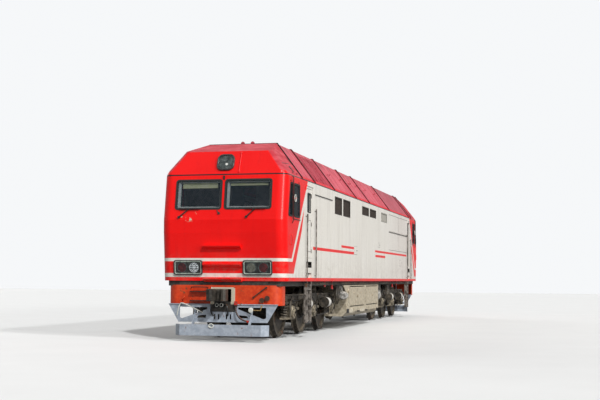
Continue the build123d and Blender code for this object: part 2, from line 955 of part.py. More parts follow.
def cooling_roof(front, back):
    shell = roof_section(front, back)
    opening = fan_radius + fan_gap
    for x in fan_places:
        well = Pos(x, 0, (fan_z - fan_thickness + roof_top) / 2) * (
            Cylinder(opening + 20, roof_top - fan_z + fan_thickness)
            - Cylinder(opening, roof_top - fan_z + fan_thickness + 2))
        shell -= Pos(x, 0, roof_top) * Cylinder(opening, 4 * wall)
        shell += well
        for radius in (0.35, 0.68):
            shell += Pos(x, 0, roof_top - guard_bar / 2) * (
                Cylinder(radius * opening + guard_bar / 2, guard_bar)
                - Cylinder(radius * opening - guard_bar / 2, guard_bar + 2))
        for angle in range(0, 180, 30):
            bar = Rot(0, 0, angle) * Box(2 * opening + 20, guard_bar, guard_bar)
            shell += Pos(x, 0, roof_top - guard_bar / 2) * bar
        arm = Box(2 * opening + 20, 70, 60)
        post = Cylinder(90, 100)
        shell += Pos(x, 0, fan_z - fan_thickness + 30) * arm
        shell += Pos(x, 0, fan_z - fan_thickness + 10) * post
        shell += Pos(x, 0, fan_low - running_gap - 35) * Cylinder(45, 70)
    return shell


roof_makers = {"plain": roof_section, "intake": intake_roof, "cooling": cooling_roof}
roof_groups = {"plain": [], "intake": [], "cooling": []}
for (front, kind), (back, _) in zip(roof_joints, roof_joints[1:]):
    roof_groups[kind].append(roof_makers[kind](front, back))
write("roof_hatches", roof_groups["plain"])
write("roof_intake", roof_groups["intake"])
write("roof_cooling", roof_groups["cooling"])

for number, x in enumerate(fan_places, 1):
    hub = Pos(0, 0, (fan_low + fan_high) / 2) * Cylinder(fan_hub_radius, fan_high - fan_low)
    fan = hub
    for blade in range(fan_blades):
        angle = 360 / fan_blades * blade
        vane = Box(fan_radius - fan_hub_radius + 30, 230, 14)
        middle = (fan_radius + fan_hub_radius - 30) / 2
        vane = Pos(middle, 0, (fan_low + fan_high) / 2) * Rot(28, 0, 0) * vane
        fan += Rot(0, 0, angle) * vane
    write(f"fan_{number}", [Pos(x, 0, 0) * fan])


# Inner walls of the cabs and vestibules, from the deck up, with a doorway each
def bulkheads():
    walls = []
    for x in (bulkhead_x, engine_wall_x):
        sheet = body_slice(x, x + plate, wall)
        sheet -= block(x - 1, x + plate + 1, -half_width, half_width, 0, deck_top)
        sheet -= block(x - 1, x + plate + 1, -bulkhead_door_width / 2, bulkhead_door_width / 2,
                       floor_top, floor_top + bulkhead_door_height)
        walls.append(sheet)
    return both_ends(walls)


write("bulkheads", bulkheads())
write("engine_block", [block(engine_back, engine_front, -engine_half, engine_half, deck_top, engine_top)])


# Driver's desk and seats, on the cab floor
def desk():
    low, high = floor_top + desk_low, floor_top + desk_high
    outline = Polyline(
        (desk_back, floor_top), (desk_back, low), (desk_back + 130, high - desk_lip), (desk_front - 120, high),
        (desk_front, high - 130), (desk_front - desk_lip, floor_top), close=True)
    return extrude(Plane.XZ * make_face(outline), amount=desk_half, both=True)


def seat(y):
    pad = floor_top + seat_height
    shape = Pos(seat_x, y, floor_top + seat_height / 2) * Cylinder(seat_post, seat_height)
    back, front = seat_x - seat_half, seat_x + seat_half
    shape += block(back, front, y - seat_half, y + seat_half, pad, pad + seat_pad)
    rest = Rot(0, -seat_recline, 0) * Box(seat_back_thickness, 2 * seat_half - 20, seat_back_height)
    shape += Pos(back + 10, y, pad + seat_back_height * 0.625) * rest
    return shape


write("cab_desks", both_ends([desk()]))
write("cab_seats", both_ends([seat(-seat_y), seat(seat_y)]))


# Entrance doors hinge at the edge nearer the engine room and open inwards
def door(open_angle=0):
    y1 = half_width - door_recess
    y0 = y1 - door_thickness
    leaf = block(door_back + door_gap, door_front - door_gap, y0, y1,
                 door_sill + door_gap, door_head - door_gap)
    middle = (door_back + door_front) / 2
    width = door_front - door_back - 2 * door_window_margin
    hole = RectangleRounded(width, door_window_high - door_window_low, 40)
    place = Plane.XZ * Pos(middle, (door_window_low + door_window_high) / 2)
    leaf -= Pos(0, y0 - 1, 0) * extrude(place * hole, amount=door_thickness + 2, dir=(0, 1, 0))
    pane = Pos(0, y1 - 25, 0) * extrude(place * hole, amount=10, dir=(0, 1, 0))
    hinge = (door_pivot_x, door_pivot_y, 0)
    turn = Pos(*hinge) * Rot(0, 0, -open_angle) * Pos(-hinge[0], -hinge[1], 0)
    return turn * leaf, turn * pane


for name, angle, place in (
        ("front_left", 0, lambda shape: shape), ("front_right", 0, across),
        ("rear_left", 90, endwise), ("rear_right", 0, lambda shape: across(endwise(shape)))):
    leaf, pane = door(angle)
    write(f"door_{name}", [place(leaf)])
    write(f"door_glass_{name}", [place(pane)])


lid_pivot_y = tank_half_width + lid_stand - lid_thickness / 2
lid_pivot_z = battery_low + lid_gap + lid_thickness / 2


# Fuel tank between the bogies, with battery boxes in its sides
def tank():
    outline = Polyline(
        (-tank_half_width + tank_chamfer, tank_bottom), (-tank_half_width, tank_bottom + tank_chamfer),
        (-tank_half_width, frame_bottom), (tank_half_width, frame_bottom),
        (tank_half_width, tank_bottom + tank_chamfer), (tank_half_width - tank_chamfer, tank_bottom), close=True)
    length = tank_front - tank_back
    shell = Pos(tank_back, 0, 0) * extrude(make_face(Plane.YZ * outline), amount=length, dir=(1, 0, 0))
    for back, front in battery_boxes:
        for side in (-1, 1):
            low, high = sorted((side * (tank_half_width - battery_depth), side * (tank_half_width + 1)))
            shell -= block(back, front, low, high, battery_low, battery_high)
            pivot = (side * lid_pivot_y, lid_pivot_z)
            reach = lid_gap - running_gap
            for start, end in ((back - 5, back + reach), (front - reach, front + 5)):
                shell += rod((start, *pivot), (end, *pivot), lid_pin_radius)
    for x in sump_places:
        shell += block(x - sump_half, x + sump_half, -sump_half, sump_half,
                       tank_bottom - sump_drop, tank_bottom)
    gusset = Polyline((tank_front, frame_bottom), (tank_gusset_front, frame_bottom),
                      (tank_gusset_front, frame_bottom - 40), (tank_front, tank_gusset_low), close=True)
    gusset = Pos(0, tank_half_width - gusset_thickness, 0) * extrude(
        Plane.XZ * make_face(gusset), amount=gusset_thickness, dir=(0, 1, 0))
    y = tank_half_width
    fittings = [
        gusset,
        rod((filler_x, y, filler_z), (filler_x, y + filler_stand, filler_z), filler_radius),
        block(gauge_x, gauge_x + gauge_width, y, y + gauge_stand, gauge_low, gauge_high)]
    for shape in both_sides(fittings):
        shell += shape
    return shell


write("fuel_tank", [tank()])
bank_y = tank_half_width - lid_thickness - 25
write("battery_banks", both_sides([
    block(back + 60, front - 60, tank_half_width - battery_depth, bank_y, battery_low, battery_high - 90)
    for back, front in battery_boxes]))
for side, place in (("left", lambda shape: shape), ("right", across)):
    for end, (back, front) in zip(("front", "rear"), battery_boxes):
        face = tank_half_width + lid_stand
        lid = block(back + lid_gap, front - lid_gap, face - lid_thickness, face,
                    battery_low + lid_gap, battery_high - lid_gap)
        middle = (back + front) / 2
        lid -= block(middle - lid_seam / 2, middle + lid_seam / 2, face - seam_depth, face + 1,
                     battery_low, battery_high)
        knob_z = (battery_low + battery_high) / 2
        knob = rod((middle, face, knob_z), (middle, face + knob_stand, knob_z), knob_radius)
        write(f"battery_lid_{side}_{end}", [place(lid + knob)])


# Draft box, pin and guide of each coupler
def draft_box():
    x0 = coupler_pivot_x - draft_half_width + 40
    x1 = nose_sill_x - wall
    half = draft_half_width
    inner = half - draft_plate
    shell = block(x0, x1, -half, half, draft_bottom, frame_bottom)
    shell -= block(x0 + draft_plate, x1 + 1, -inner, inner, draft_bottom + draft_plate, frame_bottom - 45)
    shell += Pos(coupler_pivot_x, 0, (draft_bottom + frame_bottom) / 2) * Cylinder(
        coupler_pin_radius, frame_bottom - draft_bottom)
    guide = block(x1 - 15, guide_front, -guide_width / 2, guide_width / 2, guide_low, guide_high)
    guide = fillet(guide.edges().filter_by(Axis.X), guide_corner)
    guide -= block(x1 - 20, guide_front + 1, -guide_mouth, guide_mouth,
                   draft_bottom + draft_plate, guide_high - 40)
    return shell + guide


write("draft_boxes", both_ends([draft_box()]))


# Coupler: its head's outline is seen from above, from the pulling face back to the shank
head_reach = 170
head_outline = [
    (-290, -100), (-290, 100), (-180, 185), (-60, 235), (60, 215), (95, 165), (85, 110), (-10, 95),
    (-45, 40), (-30, -25), (70, -60), (150, -90), (170, -150), (140, -230), (-40, -255), (-180, -185)]
head_edge = 16
collar_thickness = 45
collar_rim = 40
lock_reach = 45
lock_back = 60


def coupler():
    pull_x = coupler_tip - head_reach
    head = Pos(pull_x, 0, coupler_z - head_height / 2) * extrude(
        make_face(Polyline(*head_outline, close=True)), amount=head_height, dir=(0, 0, 1))
    head = chamfer(head.edges().filter_by(Plane.XY), head_edge)
    back = pull_x + head_outline[0][0]
    half = shank_width / 2 + collar_rim
    rise = shank_height / 2 + collar_rim
    head += block(back - collar_thickness, back + 10, -half, half, coupler_z - rise, coupler_z + rise)
    lock = pull_x - lock_back
    head += block(lock, lock + lock_reach, -20, 40, coupler_z - 90, coupler_z + 90)
    shank = block(coupler_pivot_x, pull_x - 200, -shank_width / 2, shank_width / 2,
                  coupler_z - shank_height / 2, coupler_z + shank_height / 2)
    eye = Pos(coupler_pivot_x, 0, coupler_z) * Cylinder(coupler_eye_radius, shank_height)
    hole = Pos(coupler_pivot_x, 0, coupler_z) * Cylinder(coupler_pin_radius + running_gap, shank_height + 2)
    return head + shank + eye - hole


write("coupler_front", [coupler()])
write("coupler_rear", [Rot(0, 0, 180) * coupler()])


def apron_slab(inset):
    front = apron_x - inset
    half = apron_half_width - inset
    corner = apron_corner - inset
    outline = RectangleRounded(2 * apron_return, 2 * half, corner)
    place = Pos(front - apron_return, 0, apron_low)
    return place * extrude(outline, amount=apron_high - apron_low, dir=(0, 0, 1))


# The hose's bends are as large as its runs allow
def brake_hose():
    route = [Vector(apron_x + x, y, z) for x, y, z in hose_route]
    bends = []
    for before, corner, after in zip(route, route[1:], route[2:]):
        half_turn = radians((corner - before).get_angle(after - corner) / 2)
        bends.append(hose_arc_share * min((corner - before).length, (after - corner).length) / tan(half_turn))
    print("hose bend radii", [round(bend) for bend in bends])
    path = FilletPolyline(*route, radius=bends)
    hose = sweep(Plane(origin=path @ 0, z_dir=path % 0) * Circle(hose_radius), path=path)
    x, y, z = route[0]
    top = cock_low + 2 * cock_half
    hose += block(apron_x - 5, x, y - cock_half, y + cock_half, cock_low, top)
    hose += block(x - cock_half, x + cock_half, y - cock_half, y + cock_half, z - 15, top)
    x, y, z = route[-1]
    hose += block(x - coupling_half, x + coupling_half, y - 5, y - 5 + coupling_length,
                  z - coupling_half, z + coupling_half)
    return hose


def apron():
    sheet = apron_slab(0) - apron_slab(apron_thickness)
    back = apron_x - apron_return
    sheet -= block(back - 2 * apron_return, back, -half_width, half_width, apron_low, apron_high)
    sheet -= block(back, guide_front, -guide_width / 2, guide_width / 2, guide_low, guide_high)
    sheet -= block(back - 1, length_over_frame, -half_width, half_width, frame_bottom, apron_high + 1)
    low = (apron_x + lever_stand, lever_y, lever_low)
    high = (apron_x + lever_stand, lever_y + lever_reach, lever_high)
    sheet += rod(low, high, lever_radius)
    half = lever_radius + 6
    for x, y, z in (low, high):
        sheet += block(apron_x - 5, x + 5, y - half, y + half, z - half, z + half)
    for z in tread_places:
        sheet += block(apron_x - 5, apron_x + tread_reach, tread_back, tread_front, z, z + tread_thickness)
        for y in (tread_back, tread_front - tread_thickness / 2):
            side = make_face(Plane.XZ * Polyline(
                (apron_x - 5, z), (apron_x + tread_reach, z), (apron_x + tread_reach, z + 30),
                (apron_x - 5, z + tread_side + 30), close=True))
            sheet += Pos(0, y, 0) * extrude(side, amount=tread_thickness / 2, dir=(0, 1, 0))
    sheet += brake_hose()
    for y, z in socket_places:
        sheet += rod((apron_x - 5, y, z), (apron_x + socket_length, y, z), socket_radius)
        sheet += rod((apron_x + socket_length, y, z), (apron_x + socket_length + 12, y, z), socket_cap)
    return sheet


# Snow plow: an open upper frame with gussets, and a folded blade ahead of it
def plow():
    outline = Polyline(
        (-plow_foot_half, plow_low), (-plow_top_half, plow_high), (plow_top_half, plow_high),
        (plow_foot_half, plow_low), close=True)
    x0 = apron_x
    face = extrude(Plane.YZ * make_face(outline), amount=20, dir=(1, 0, 0))
    for points in plow_holes:
        cut = extrude(Plane.YZ * make_face(Polyline(*points, close=True)), amount=60, both=True)
        face = face - cut - across(cut)
    face -= block(-1, 60, -guide_width / 2 - 5, guide_width / 2 + 5, guide_low - 5, guide_high)
    face = Pos(x0, 0, 0) * face
    blade_outline = Polyline(
        (0, -blade_fold), (-150, -blade_half), (-165, -blade_half), (-18, -blade_fold + 5),
        (-18, blade_fold - 5), (-165, blade_half), (-150, blade_half), (0, blade_fold), close=True)
    blade = Pos(blade_x, 0, blade_low) * extrude(
        make_face(blade_outline), amount=blade_high - blade_low, dir=(0, 0, 1))
    shape = face + blade
    x, y, z = hose_route[-1]
    y += coupling_length / 2
    z += coupling_half
    shape += block(x0, x0 + x + coupling_half, y - coupling_half / 2, y + coupling_half / 2,
                   z, z + hook_thickness)
    shape += block(x0, x0 + plow_lip, -plow_foot_half, plow_foot_half, plow_low, plow_low + 20)
    shape += block(x0, x0 + plow_lip, guide_width / 2 + 20, plow_top_half - 20, plow_high - 20, plow_high)
    shape += block(x0, x0 + plow_lip, -plow_top_half + 20, -guide_width / 2 - 20, plow_high - 20, plow_high)
    for y in (-700, 700):
        arm = Polyline((x0 + 10, 470), (x0 + 10, 640), (blade_x - 5, 390), (blade_x - 5, 200), close=True)
        shape += Pos(0, y, 0) * extrude(Plane.XZ * make_face(arm), amount=12, both=True)
        leg = Polyline((x0 + 10, 480), (x0 + 10, 800), (x0 - 45, 830), (x0 - 45, frame_bottom),
                       (x0 - 180, frame_bottom), (x0 - 180, 900), close=True)
        shape += Pos(0, y, 0) * extrude(Plane.XZ * make_face(leg), amount=14, both=True)
    return shape


write("aprons", both_ends([apron()]))
write("plows", both_ends([plow()]))


def lamps():
    brow_rise = nose_brow_z - eave_z
    middle = (headlight_z - eave_z) * hypot(nose_eave_x - nose_brow_x, brow_rise) / brow_rise
    inner = headlight_size - 2 * headlight_rim
    rim = RectangleRounded(headlight_size, headlight_size, headlight_corner)
    dish = RectangleRounded(inner, inner, headlight_corner - headlight_rim)
    head = extrude(brow_plane * Pos(0, middle) * rim, amount=headlight_depth)
    floor = Plane(brow_plane.location * Pos(0, middle, headlight_depth / 3))
    head -= extrude(floor * dish, amount=headlight_depth)
    shapes = [head]
    up = cluster_z - sill_bottom
    width, height = cluster_width - 2 * cluster_rim, cluster_height - 2 * cluster_rim
    rim = RectangleRounded(cluster_width, cluster_height, 50)
    dish = RectangleRounded(width, height, 40)
    for y in (-cluster_y, cluster_y):
        case = extrude(nose_plane * Pos(y, up) * rim, amount=cluster_depth)
        floor = Plane(nose_plane.location * Pos(y, up, cluster_depth / 3))
        case -= extrude(floor * dish, amount=cluster_depth)
        for side in (-1, 1):
            place = nose_plane * Pos(y + side * cluster_lamp_y, up)
            case += extrude(place * Circle(cluster_lamp_radius), amount=cluster_depth - 6)
        shapes.append(case)
    return shapes


write("lamps", both_ends(lamps()))


# Handrails beside the doors, each a bar on two feet
def handrail(x, low, high):
    y = half_width + rail_stand
    shape = rod((x, y, low), (x, y, high), rail_radius)
    for z in (low + rail_foot, high - rail_foot):
        shape += rod((x, half_width, z), (x, y, z), rail_radius * 0.8)
    return shape


write("handrails", both_sides(both_ends([handrail(*place) for place in rail_places])))


def ladder():
    y0 = frame_half_width + ladder_gap
    y1 = y0 + ladder_depth
    shape = block(ladder_back, ladder_back + ladder_rail, y0, y1, ladder_low, sill_bottom)
    shape += block(ladder_front - ladder_rail, ladder_front, y0, y1, ladder_low, sill_bottom)
    for step in range(round((sill_bottom - ladder_low) / ladder_pitch)):
        z = ladder_low + rung + step * ladder_pitch
        shape += block(ladder_back, ladder_front, y0, y1, z, z + rung)
    return shape


write("ladders", both_sides(both_ends([ladder()])))


def reservoir():
    y = frame_half_width - reservoir_inset
    low, high = y - reservoir_radius, y + reservoir_radius
    body = rod((reservoir_back, y, reservoir_z), (reservoir_front, y, reservoir_z), reservoir_radius)
    body = fillet(body.edges(), reservoir_radius * 0.45)
    for x in (reservoir_back + strap_inset, reservoir_front - strap_inset - strap_width):
        body += block(x, x + strap_width, low, high, reservoir_z, frame_bottom)
    return body


# Brake air reservoir ahead of the fuel tank, hung from the frame by two straps
def small_reservoir():
    y = frame_half_width + small_reservoir_out
    body = rod((small_reservoir_back, y, small_reservoir_z), (small_reservoir_front, y, small_reservoir_z),
               small_reservoir_radius)
    body = fillet(body.edges(), small_reservoir_radius * 0.35)
    for x in (small_reservoir_back + strap_width, small_reservoir_front - 2 * strap_width):
        body += block(x, x + strap_width / 2, y - small_reservoir_radius, frame_half_width,
                      small_reservoir_z, frame_bottom)
    return body


write("air_reservoirs", both_sides([reservoir(), small_reservoir()]))


def roof_box(back, front, half, height):
    shape = block(back, front, -half, half, roof_top, roof_top + height)
    return chamfer(shape.faces().sort_by(Axis.Z)[-1].edges(), box_edge)


def horn(y):
    z = roof_top + horn_z
    throat = horn_radius * 0.3
    bell_length = horn_length * 0.3
    bell_back = horn_x + horn_length - bell_length
    pipe = rod((horn_x, y, z), (bell_back, y, z), throat)
    bell = Pos(bell_back + bell_length / 2, y, z) * Rot(0, 90, 0) * Cone(throat, horn_radius, bell_length)
    foot = block(horn_x + 20, horn_x + 60, y - 25, y + 25, roof_top, z)
    return pipe + bell + foot


stack = Pos(stack_x, 0, roof_top + stack_height / 2) * (
    Cylinder(stack_radius, stack_height) - Cylinder(stack_radius - stack_wall, stack_height))
horns = both_ends([horn(-horn_y), horn(horn_y)])
write("roof_equipment", [roof_box(*place) for place in roof_boxes] + [stack] + horns)


# Each wiper's blade is parked along the foot of its windscreen
def wiper(y, reach):
    shape = extrude(screen_plane * Pos(y, wiper_foot) * Circle(wiper_foot_radius), amount=rubber_stand + 30)
    above = Plane(screen_plane.location * Pos(0, 0, rubber_stand + 14))
    rise = wiper_blade - wiper_foot
    half = wiper_width / 2
    arm = Polyline((y - half, wiper_foot), (y + half, wiper_foot), (y + reach + half, wiper_foot + rise),
                   (y + reach - half, wiper_foot + rise), close=True)
    blade = Pos(y + reach, wiper_blade) * Rectangle(wiper_length, wiper_width)
    return shape + extrude(above * make_face(arm), amount=12) + extrude(above * blade, amount=12)


write("wipers", both_ends([wiper(*place) for place in wiper_places]))
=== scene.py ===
import bpy
import bmesh
import json
import math
from mathutils import Matrix, Vector


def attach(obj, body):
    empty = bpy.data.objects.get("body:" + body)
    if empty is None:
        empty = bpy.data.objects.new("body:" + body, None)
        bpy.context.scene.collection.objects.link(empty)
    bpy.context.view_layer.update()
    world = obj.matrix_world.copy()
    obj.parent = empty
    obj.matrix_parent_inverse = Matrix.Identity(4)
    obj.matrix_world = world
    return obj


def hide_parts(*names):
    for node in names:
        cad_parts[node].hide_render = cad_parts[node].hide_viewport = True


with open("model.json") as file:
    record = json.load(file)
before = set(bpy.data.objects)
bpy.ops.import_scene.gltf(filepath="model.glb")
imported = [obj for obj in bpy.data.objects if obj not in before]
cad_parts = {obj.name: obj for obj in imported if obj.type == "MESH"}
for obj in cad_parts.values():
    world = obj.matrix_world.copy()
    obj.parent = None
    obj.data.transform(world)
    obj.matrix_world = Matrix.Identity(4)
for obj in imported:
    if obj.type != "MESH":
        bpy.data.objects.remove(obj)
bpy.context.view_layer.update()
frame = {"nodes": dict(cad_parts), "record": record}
cad = frame["nodes"]
print("frame loaded,", len(cad), "parts")


def link(thing):
    bpy.context.scene.collection.objects.link(thing)
    return thing


# Camera where the picture was taken from
lookout = {"place": (34.1636, 8.1045, 1.4772), "turn": 104.657, "tilt": 94.243, "roll": 0.359, "lens": 63.82}
eye = link(bpy.data.objects.new("photoCamera", bpy.data.cameras.new("photoCamera")))
eye.data.sensor_width = 36
eye.data.lens = lookout["lens"]
eye.data.clip_end = 500
eye.matrix_world = (
    Matrix.Translation(lookout["place"])
    @ Matrix.Rotation(math.radians(lookout["turn"]), 4, "Z")
    @ Matrix.Rotation(math.radians(lookout["tilt"]), 4, "X")
    @ Matrix.Rotation(math.radians(lookout["roll"]), 4, "Z"))
bpy.context.scene.camera = eye
bpy.context.scene.view_settings.view_transform = "Standard"

# Helpers for nodes: each works in the tree that was opened last
bench = {"tree": None}
socketNames = {"colour": "Base Color", "rough": "Roughness", "metal": "Metallic", "alpha": "Alpha",
               "gloss": "Specular IOR Level", "coat": "Coat Weight", "coatRough": "Coat Roughness",
               "glow": "Emission Strength", "glowColour": "Emission Color", "sheen": "Sheen Weight"}


def wire(value, socket):
    if isinstance(value, bpy.types.NodeSocket):
        bench["tree"].links.new(value, socket)
    elif socket.type == "RGBA" and len(value) == 3:
        socket.default_value = (*value, 1)
    else:
        socket.default_value = value


def put(kind, inputs=None, **settings):
    node = bench["tree"].nodes.new(kind)
    for key, value in settings.items():
        setattr(node, key, value)
    for key, value in (inputs or {}).items():
        wire(value, node.inputs[key])
    return node


def sums(operation, a, b=0.0, c=0.0):
    return put("ShaderNodeMath", {0: a, 1: b, 2: c}, operation=operation).outputs[0]


def both(a, b):
    return sums("MULTIPLY", a, b)


def either(a, b):
    return sums("MAXIMUM", a, b)


def bare(value):  # without its sign
    return sums("ABSOLUTE", value)


def ease(value, low, high, start=0.0, end=1.0):  # smooth step from start to end
    return put("ShaderNodeMapRange", {"Value": value, "From Min": low, "From Max": high, "To Min": start,
                                      "To Max": end}, interpolation_type="SMOOTHSTEP").outputs[0]


def above(value, level, soft=0.002):
    return ease(value, level - soft, level + soft)


def below(value, level, soft=0.002):
    return ease(value, level - soft, level + soft, 1.0, 0.0)


def within(value, low, high, soft=0.002):
    return both(above(value, low, soft), below(value, high, soft))


def inBox(place, box, soft=0.003):  # 1 inside a box given as (low, high) for each axis
    x, y, z = (within(value, *limits, soft) for value, limits in zip(place, box))
    return both(both(x, y), z)


def tint(amount, a, b):
    return put("ShaderNodeMix", {0: amount, 6: a, 7: b}, data_type="RGBA").outputs[2]


def grain(at, scale, detail=3.0, rough=0.55):
    return put("ShaderNodeTexNoise",
               {"Vector": at, "Scale": scale, "Detail": detail, "Roughness": rough}).outputs[0]


def stretched(at, scale):
    return put("ShaderNodeMapping", {"Vector": at, "Scale": scale}).outputs[0]


def axes(vector):
    return list(put("ShaderNodeSeparateXYZ", {0: vector}).outputs)


def facing():  # which way the surface looks
    return axes(put("ShaderNodeNewGeometry").outputs["Normal"])


def paint(surface, **sockets):
    for key, value in sockets.items():
        wire(value, surface.inputs[socketNames[key]])


def relief(surface, height, distance, strength=1.0):
    bump = put("ShaderNodeBump", {"Height": height, "Distance": distance, "Strength": strength})
    wire(bump.outputs[0], surface.inputs["Normal"])


def startFinish(name, **sockets):
    material = bpy.data.materials.new(name)
    material.use_nodes = True
    bench["tree"] = material.node_tree
    surface = bench["tree"].nodes["Principled BSDF"]
    paint(surface, **sockets)
    return material, surface, put("ShaderNodeTexCoord").outputs["Object"]


# Any dusty, rusty or chipped surface of the running gear and the frame
wear = {"broad": 1.7, "middle": 11.0, "flakes": 5.0, "rust": (0.16, 0.062, 0.024), "most": 0.95}


def worn(name, base, light, dust, dusty=0.5, rust=0.0, rough=(0.5, 0.85), metal=0.0, grit=45.0, depth=0.0015,
         gloss=0.4, marks=()):
    material, surface, at = startFinish(name, metal=metal, gloss=gloss)
    x, y, z = axes(at)
    fine = grain(at, grit, 4.0, 0.65)
    colour = tint(ease(grain(at, wear["middle"], 5.0, 0.6), 0.38, 0.64), base, light)
    settled = ease(facing()[2], 0.1, 0.8, 0.25, 1.0)
    patch = ease(sums("MULTIPLY_ADD", grain(at, wear["broad"], 4.0), 0.55, both(fine, 0.45)), 0.42, 0.6)
    cover = sums("MINIMUM", both(both(patch, settled), dusty * 1.6), wear["most"])
    for shade, box in marks:  # parts of the same solid in another colour, alike at both ends
        colour = tint(inBox((bare(x), y, z), box), colour, shade)
    colour = tint(cover, colour, dust)
    if rust:
        flaking = ease(grain(at, wear["flakes"], 7.0, 0.7), 0.66 - rust * 0.25, 0.72 - rust * 0.2)
        colour = tint(flaking, colour, wear["rust"])
    paint(surface, colour=colour, rough=ease(cover, 0.0, 0.8, *rough))
    relief(surface, fine, depth)
    return material


# Body paint: red cabs, off-white side, stripes and the thin dark seam under the roof
livery = {
    "red": (0.80, 0.0035, 0.003), "redPatch": (0.87, 0.006, 0.005), "redStreak": (0.60, 0.004, 0.006),
    "redHigh": (0.55, 0.002, 0.004), "pink": (0.40, 0.030, 0.042), "pinkPatch": (0.58, 0.088, 0.108),
    "white": (0.765, 0.73, 0.66), "whiteStreak": (0.62, 0.58, 0.52), "whitePatch": (0.80, 0.77, 0.72),
    "whiteRear": (0.60, 0.50, 0.47), "soil": (0.28, 0.22, 0.16), "dark": (0.012, 0.010, 0.012),
    "primer": (0.42, 0.60, 0.42), "weld": (0.30, 0.27, 0.24), "inner": (0.50, 0.50, 0.45),
    "pocketShade": (0.020, 0.017, 0.015),
    "cabEdge": ((8.34, 3.87), (9.82, 1.96)), "bandBack": ((8.63, 3.24), (9.70, 1.93)),
    "bandFront": (((8.63, 3.24), (8.88, 2.66)), ((8.88, 2.66), (9.62, 1.62))),
    "upperStripe": (1.88, 1.955), "lowerStripe": (1.505, 1.60), "seam": (3.926, 3.957),
    "sideStripes": ((2.58, 7.72, 2.22, 2.30), (-2.81, -0.94, 2.22, 2.30), (2.58, 4.35, 2.38, 2.45),
                    (-7.56, -0.87, 2.38, 2.45)),
    "chips": ((10.2, 10.6), (-1.06, -0.66), (2.84, 3.03)),
    "pocket": ((7.85, 8.42), (1.30, 1.539), (1.75, 1.92)),
    "welds": (7.5, 5.21, 2.22, 0.06, -3.69), "wallInside": (1.478, 1.488), "floor": 1.62}


def beyond(u, z, line, soft=0.003):  # 1 in front of a slanted line
    (x0, z0), (x1, z1) = line
    lean = (x1 - x0) / (z0 - z1)
    return above(sums("MULTIPLY_ADD", z, lean, u), x0 + z0 * lean, soft)


def bodyPaint():
    material, surface, at = startFinish("bodyPaint", gloss=0.12, coat=0.3, coatRough=0.28)
    x, y, z = axes(at)
    ny, nz = facing()[1:]
    u = bare(x)
    low = livery["lowerStripe"]
    high = livery["upperStripe"]
    cab = both(beyond(u, z, livery["cabEdge"]), above(z, high[1]))
    front = both(beyond(u, z, livery["bandFront"][0]), beyond(u, z, livery["bandFront"][1]))
    front = both(front, above(z, low[1]))
    inside = both(beyond(u, z, livery["bandBack"]), above(z, high[0]))
    red = either(cab, both(front, sums("SUBTRACT", 1.0, inside)))
    red = either(red, below(z, low[0]))
    for start, end, z0, z1 in livery["sideStripes"]:
        red = either(red, both(within(x, start, end), within(z, z0, z1)))
    # Rain streaks, road dust by the sill and faded patches
    streak = grain(stretched(at, (7.0, 7.0, 0.35)), 1.0, 5.0, 0.62)
    cloud = grain(at, 0.8, 4.0)
    white = tint(ease(streak, 0.45, 0.75), livery["white"], livery["whiteStreak"])
    white = tint(ease(cloud, 0.4, 0.7, 0.0, 0.35), white, livery["whitePatch"])
    white = tint(ease(x, -7.0, -2.0, 0.3, 0.0), white, livery["whiteRear"])
    vivid = tint(ease(cloud, 0.35, 0.7), livery["red"], livery["redPatch"])
    vivid = tint(ease(streak, 0.5, 0.8, 0.0, 0.35), vivid, livery["redStreak"])
    vivid = tint(ease(z, 3.94, 3.97, 0.0, 0.25), vivid, livery["redHigh"])
    colour = tint(either(red, ease(z, 3.93, 3.95)), white, vivid)
    # The upper faces of the cab roof are bleached pink and have lost their gloss
    bleach = grain(stretched(at, (1.2, 1.2, 5.0)), 2.0, 6.0, 0.65)
    top = both(ease(nz, 0.44, 0.56), ease(z, 3.95, 3.97))
    colour = tint(top, colour, tint(ease(bleach, 0.35, 0.7), livery["pink"], livery["pinkPatch"]))
    soil = both(ease(z, 1.42, 2.3, 1.0, 0.0), ease(grain(at, 6.0, 6.0, 0.7), 0.4, 0.7))
    colour = tint(both(soil, 0.35), colour, livery["soil"])
    colour = tint(within(z, *livery["seam"]), colour, livery["dark"])
    # Chips down to the primer beside one wiper, and faint welds where the roof sections end
    chips = both(inBox((x, y, z), livery["chips"], 0.05), ease(grain(at, 13.0, 3.0), 0.60, 0.64))
    colour = tint(chips, colour, livery["primer"])
    for place in livery["welds"]:
        weld = both(within(x, place - 0.006, place + 0.006, 0.004), within(z, livery["floor"], 3.93))
        colour = tint(both(weld, 0.35), colour, livery["weld"])
    # Inner faces of the shell are plain pale paint, and the step pockets are painted dark as painted shade in
    # the recesses
    inside = both(within(bare(y), *livery["wallInside"]), ease(bare(ny), 0.9, 0.95))
    colour = tint(both(inside, ease(z, livery["floor"], 1.64)), colour, livery["inner"])
    colour = tint(inBox((u, bare(y), z), livery["pocket"], 0.002), colour, livery["pocketShade"])
    fine = grain(at, 90.0, 3.0)
    paint(surface, colour=colour, coat=ease(top, 0.0, 1.0, 0.3, 0.0),
          rough=either(ease(fine, 0.3, 0.7, 0.24, 0.36), both(top, 0.62)))
    wave = grain(stretched(at, (1.0, 1.0, 1.6)), 1.6, 2.0)
    relief(surface, sums("MULTIPLY_ADD", fine, 0.02, wave), 0.006, 0.6)
    return material


roofJoints = (8.85, 7.5, 5.21, 2.22, 0.06, -3.69, -8.27, -8.85)
roofReds = {"base": (0.35, 0.020, 0.034), "faded": (0.64, 0.115, 0.150), "cloud": (0.55, 0.098, 0.130),
            "rear": (0.22, 0.055, 0.070), "soot": (0.10, 0.055, 0.05), "foot": (0.60, 0.010, 0.016),
            "rib": (0.10, 0.006, 0.009), "line": (0.012, 0.009, 0.01)}


def bands(x, half, soft):  # 1 beside any joint of the roof
    mask = 0.0
    for joint in roofJoints:
        mask = either(mask, within(x, joint - half, joint + half, soft))
    return mask


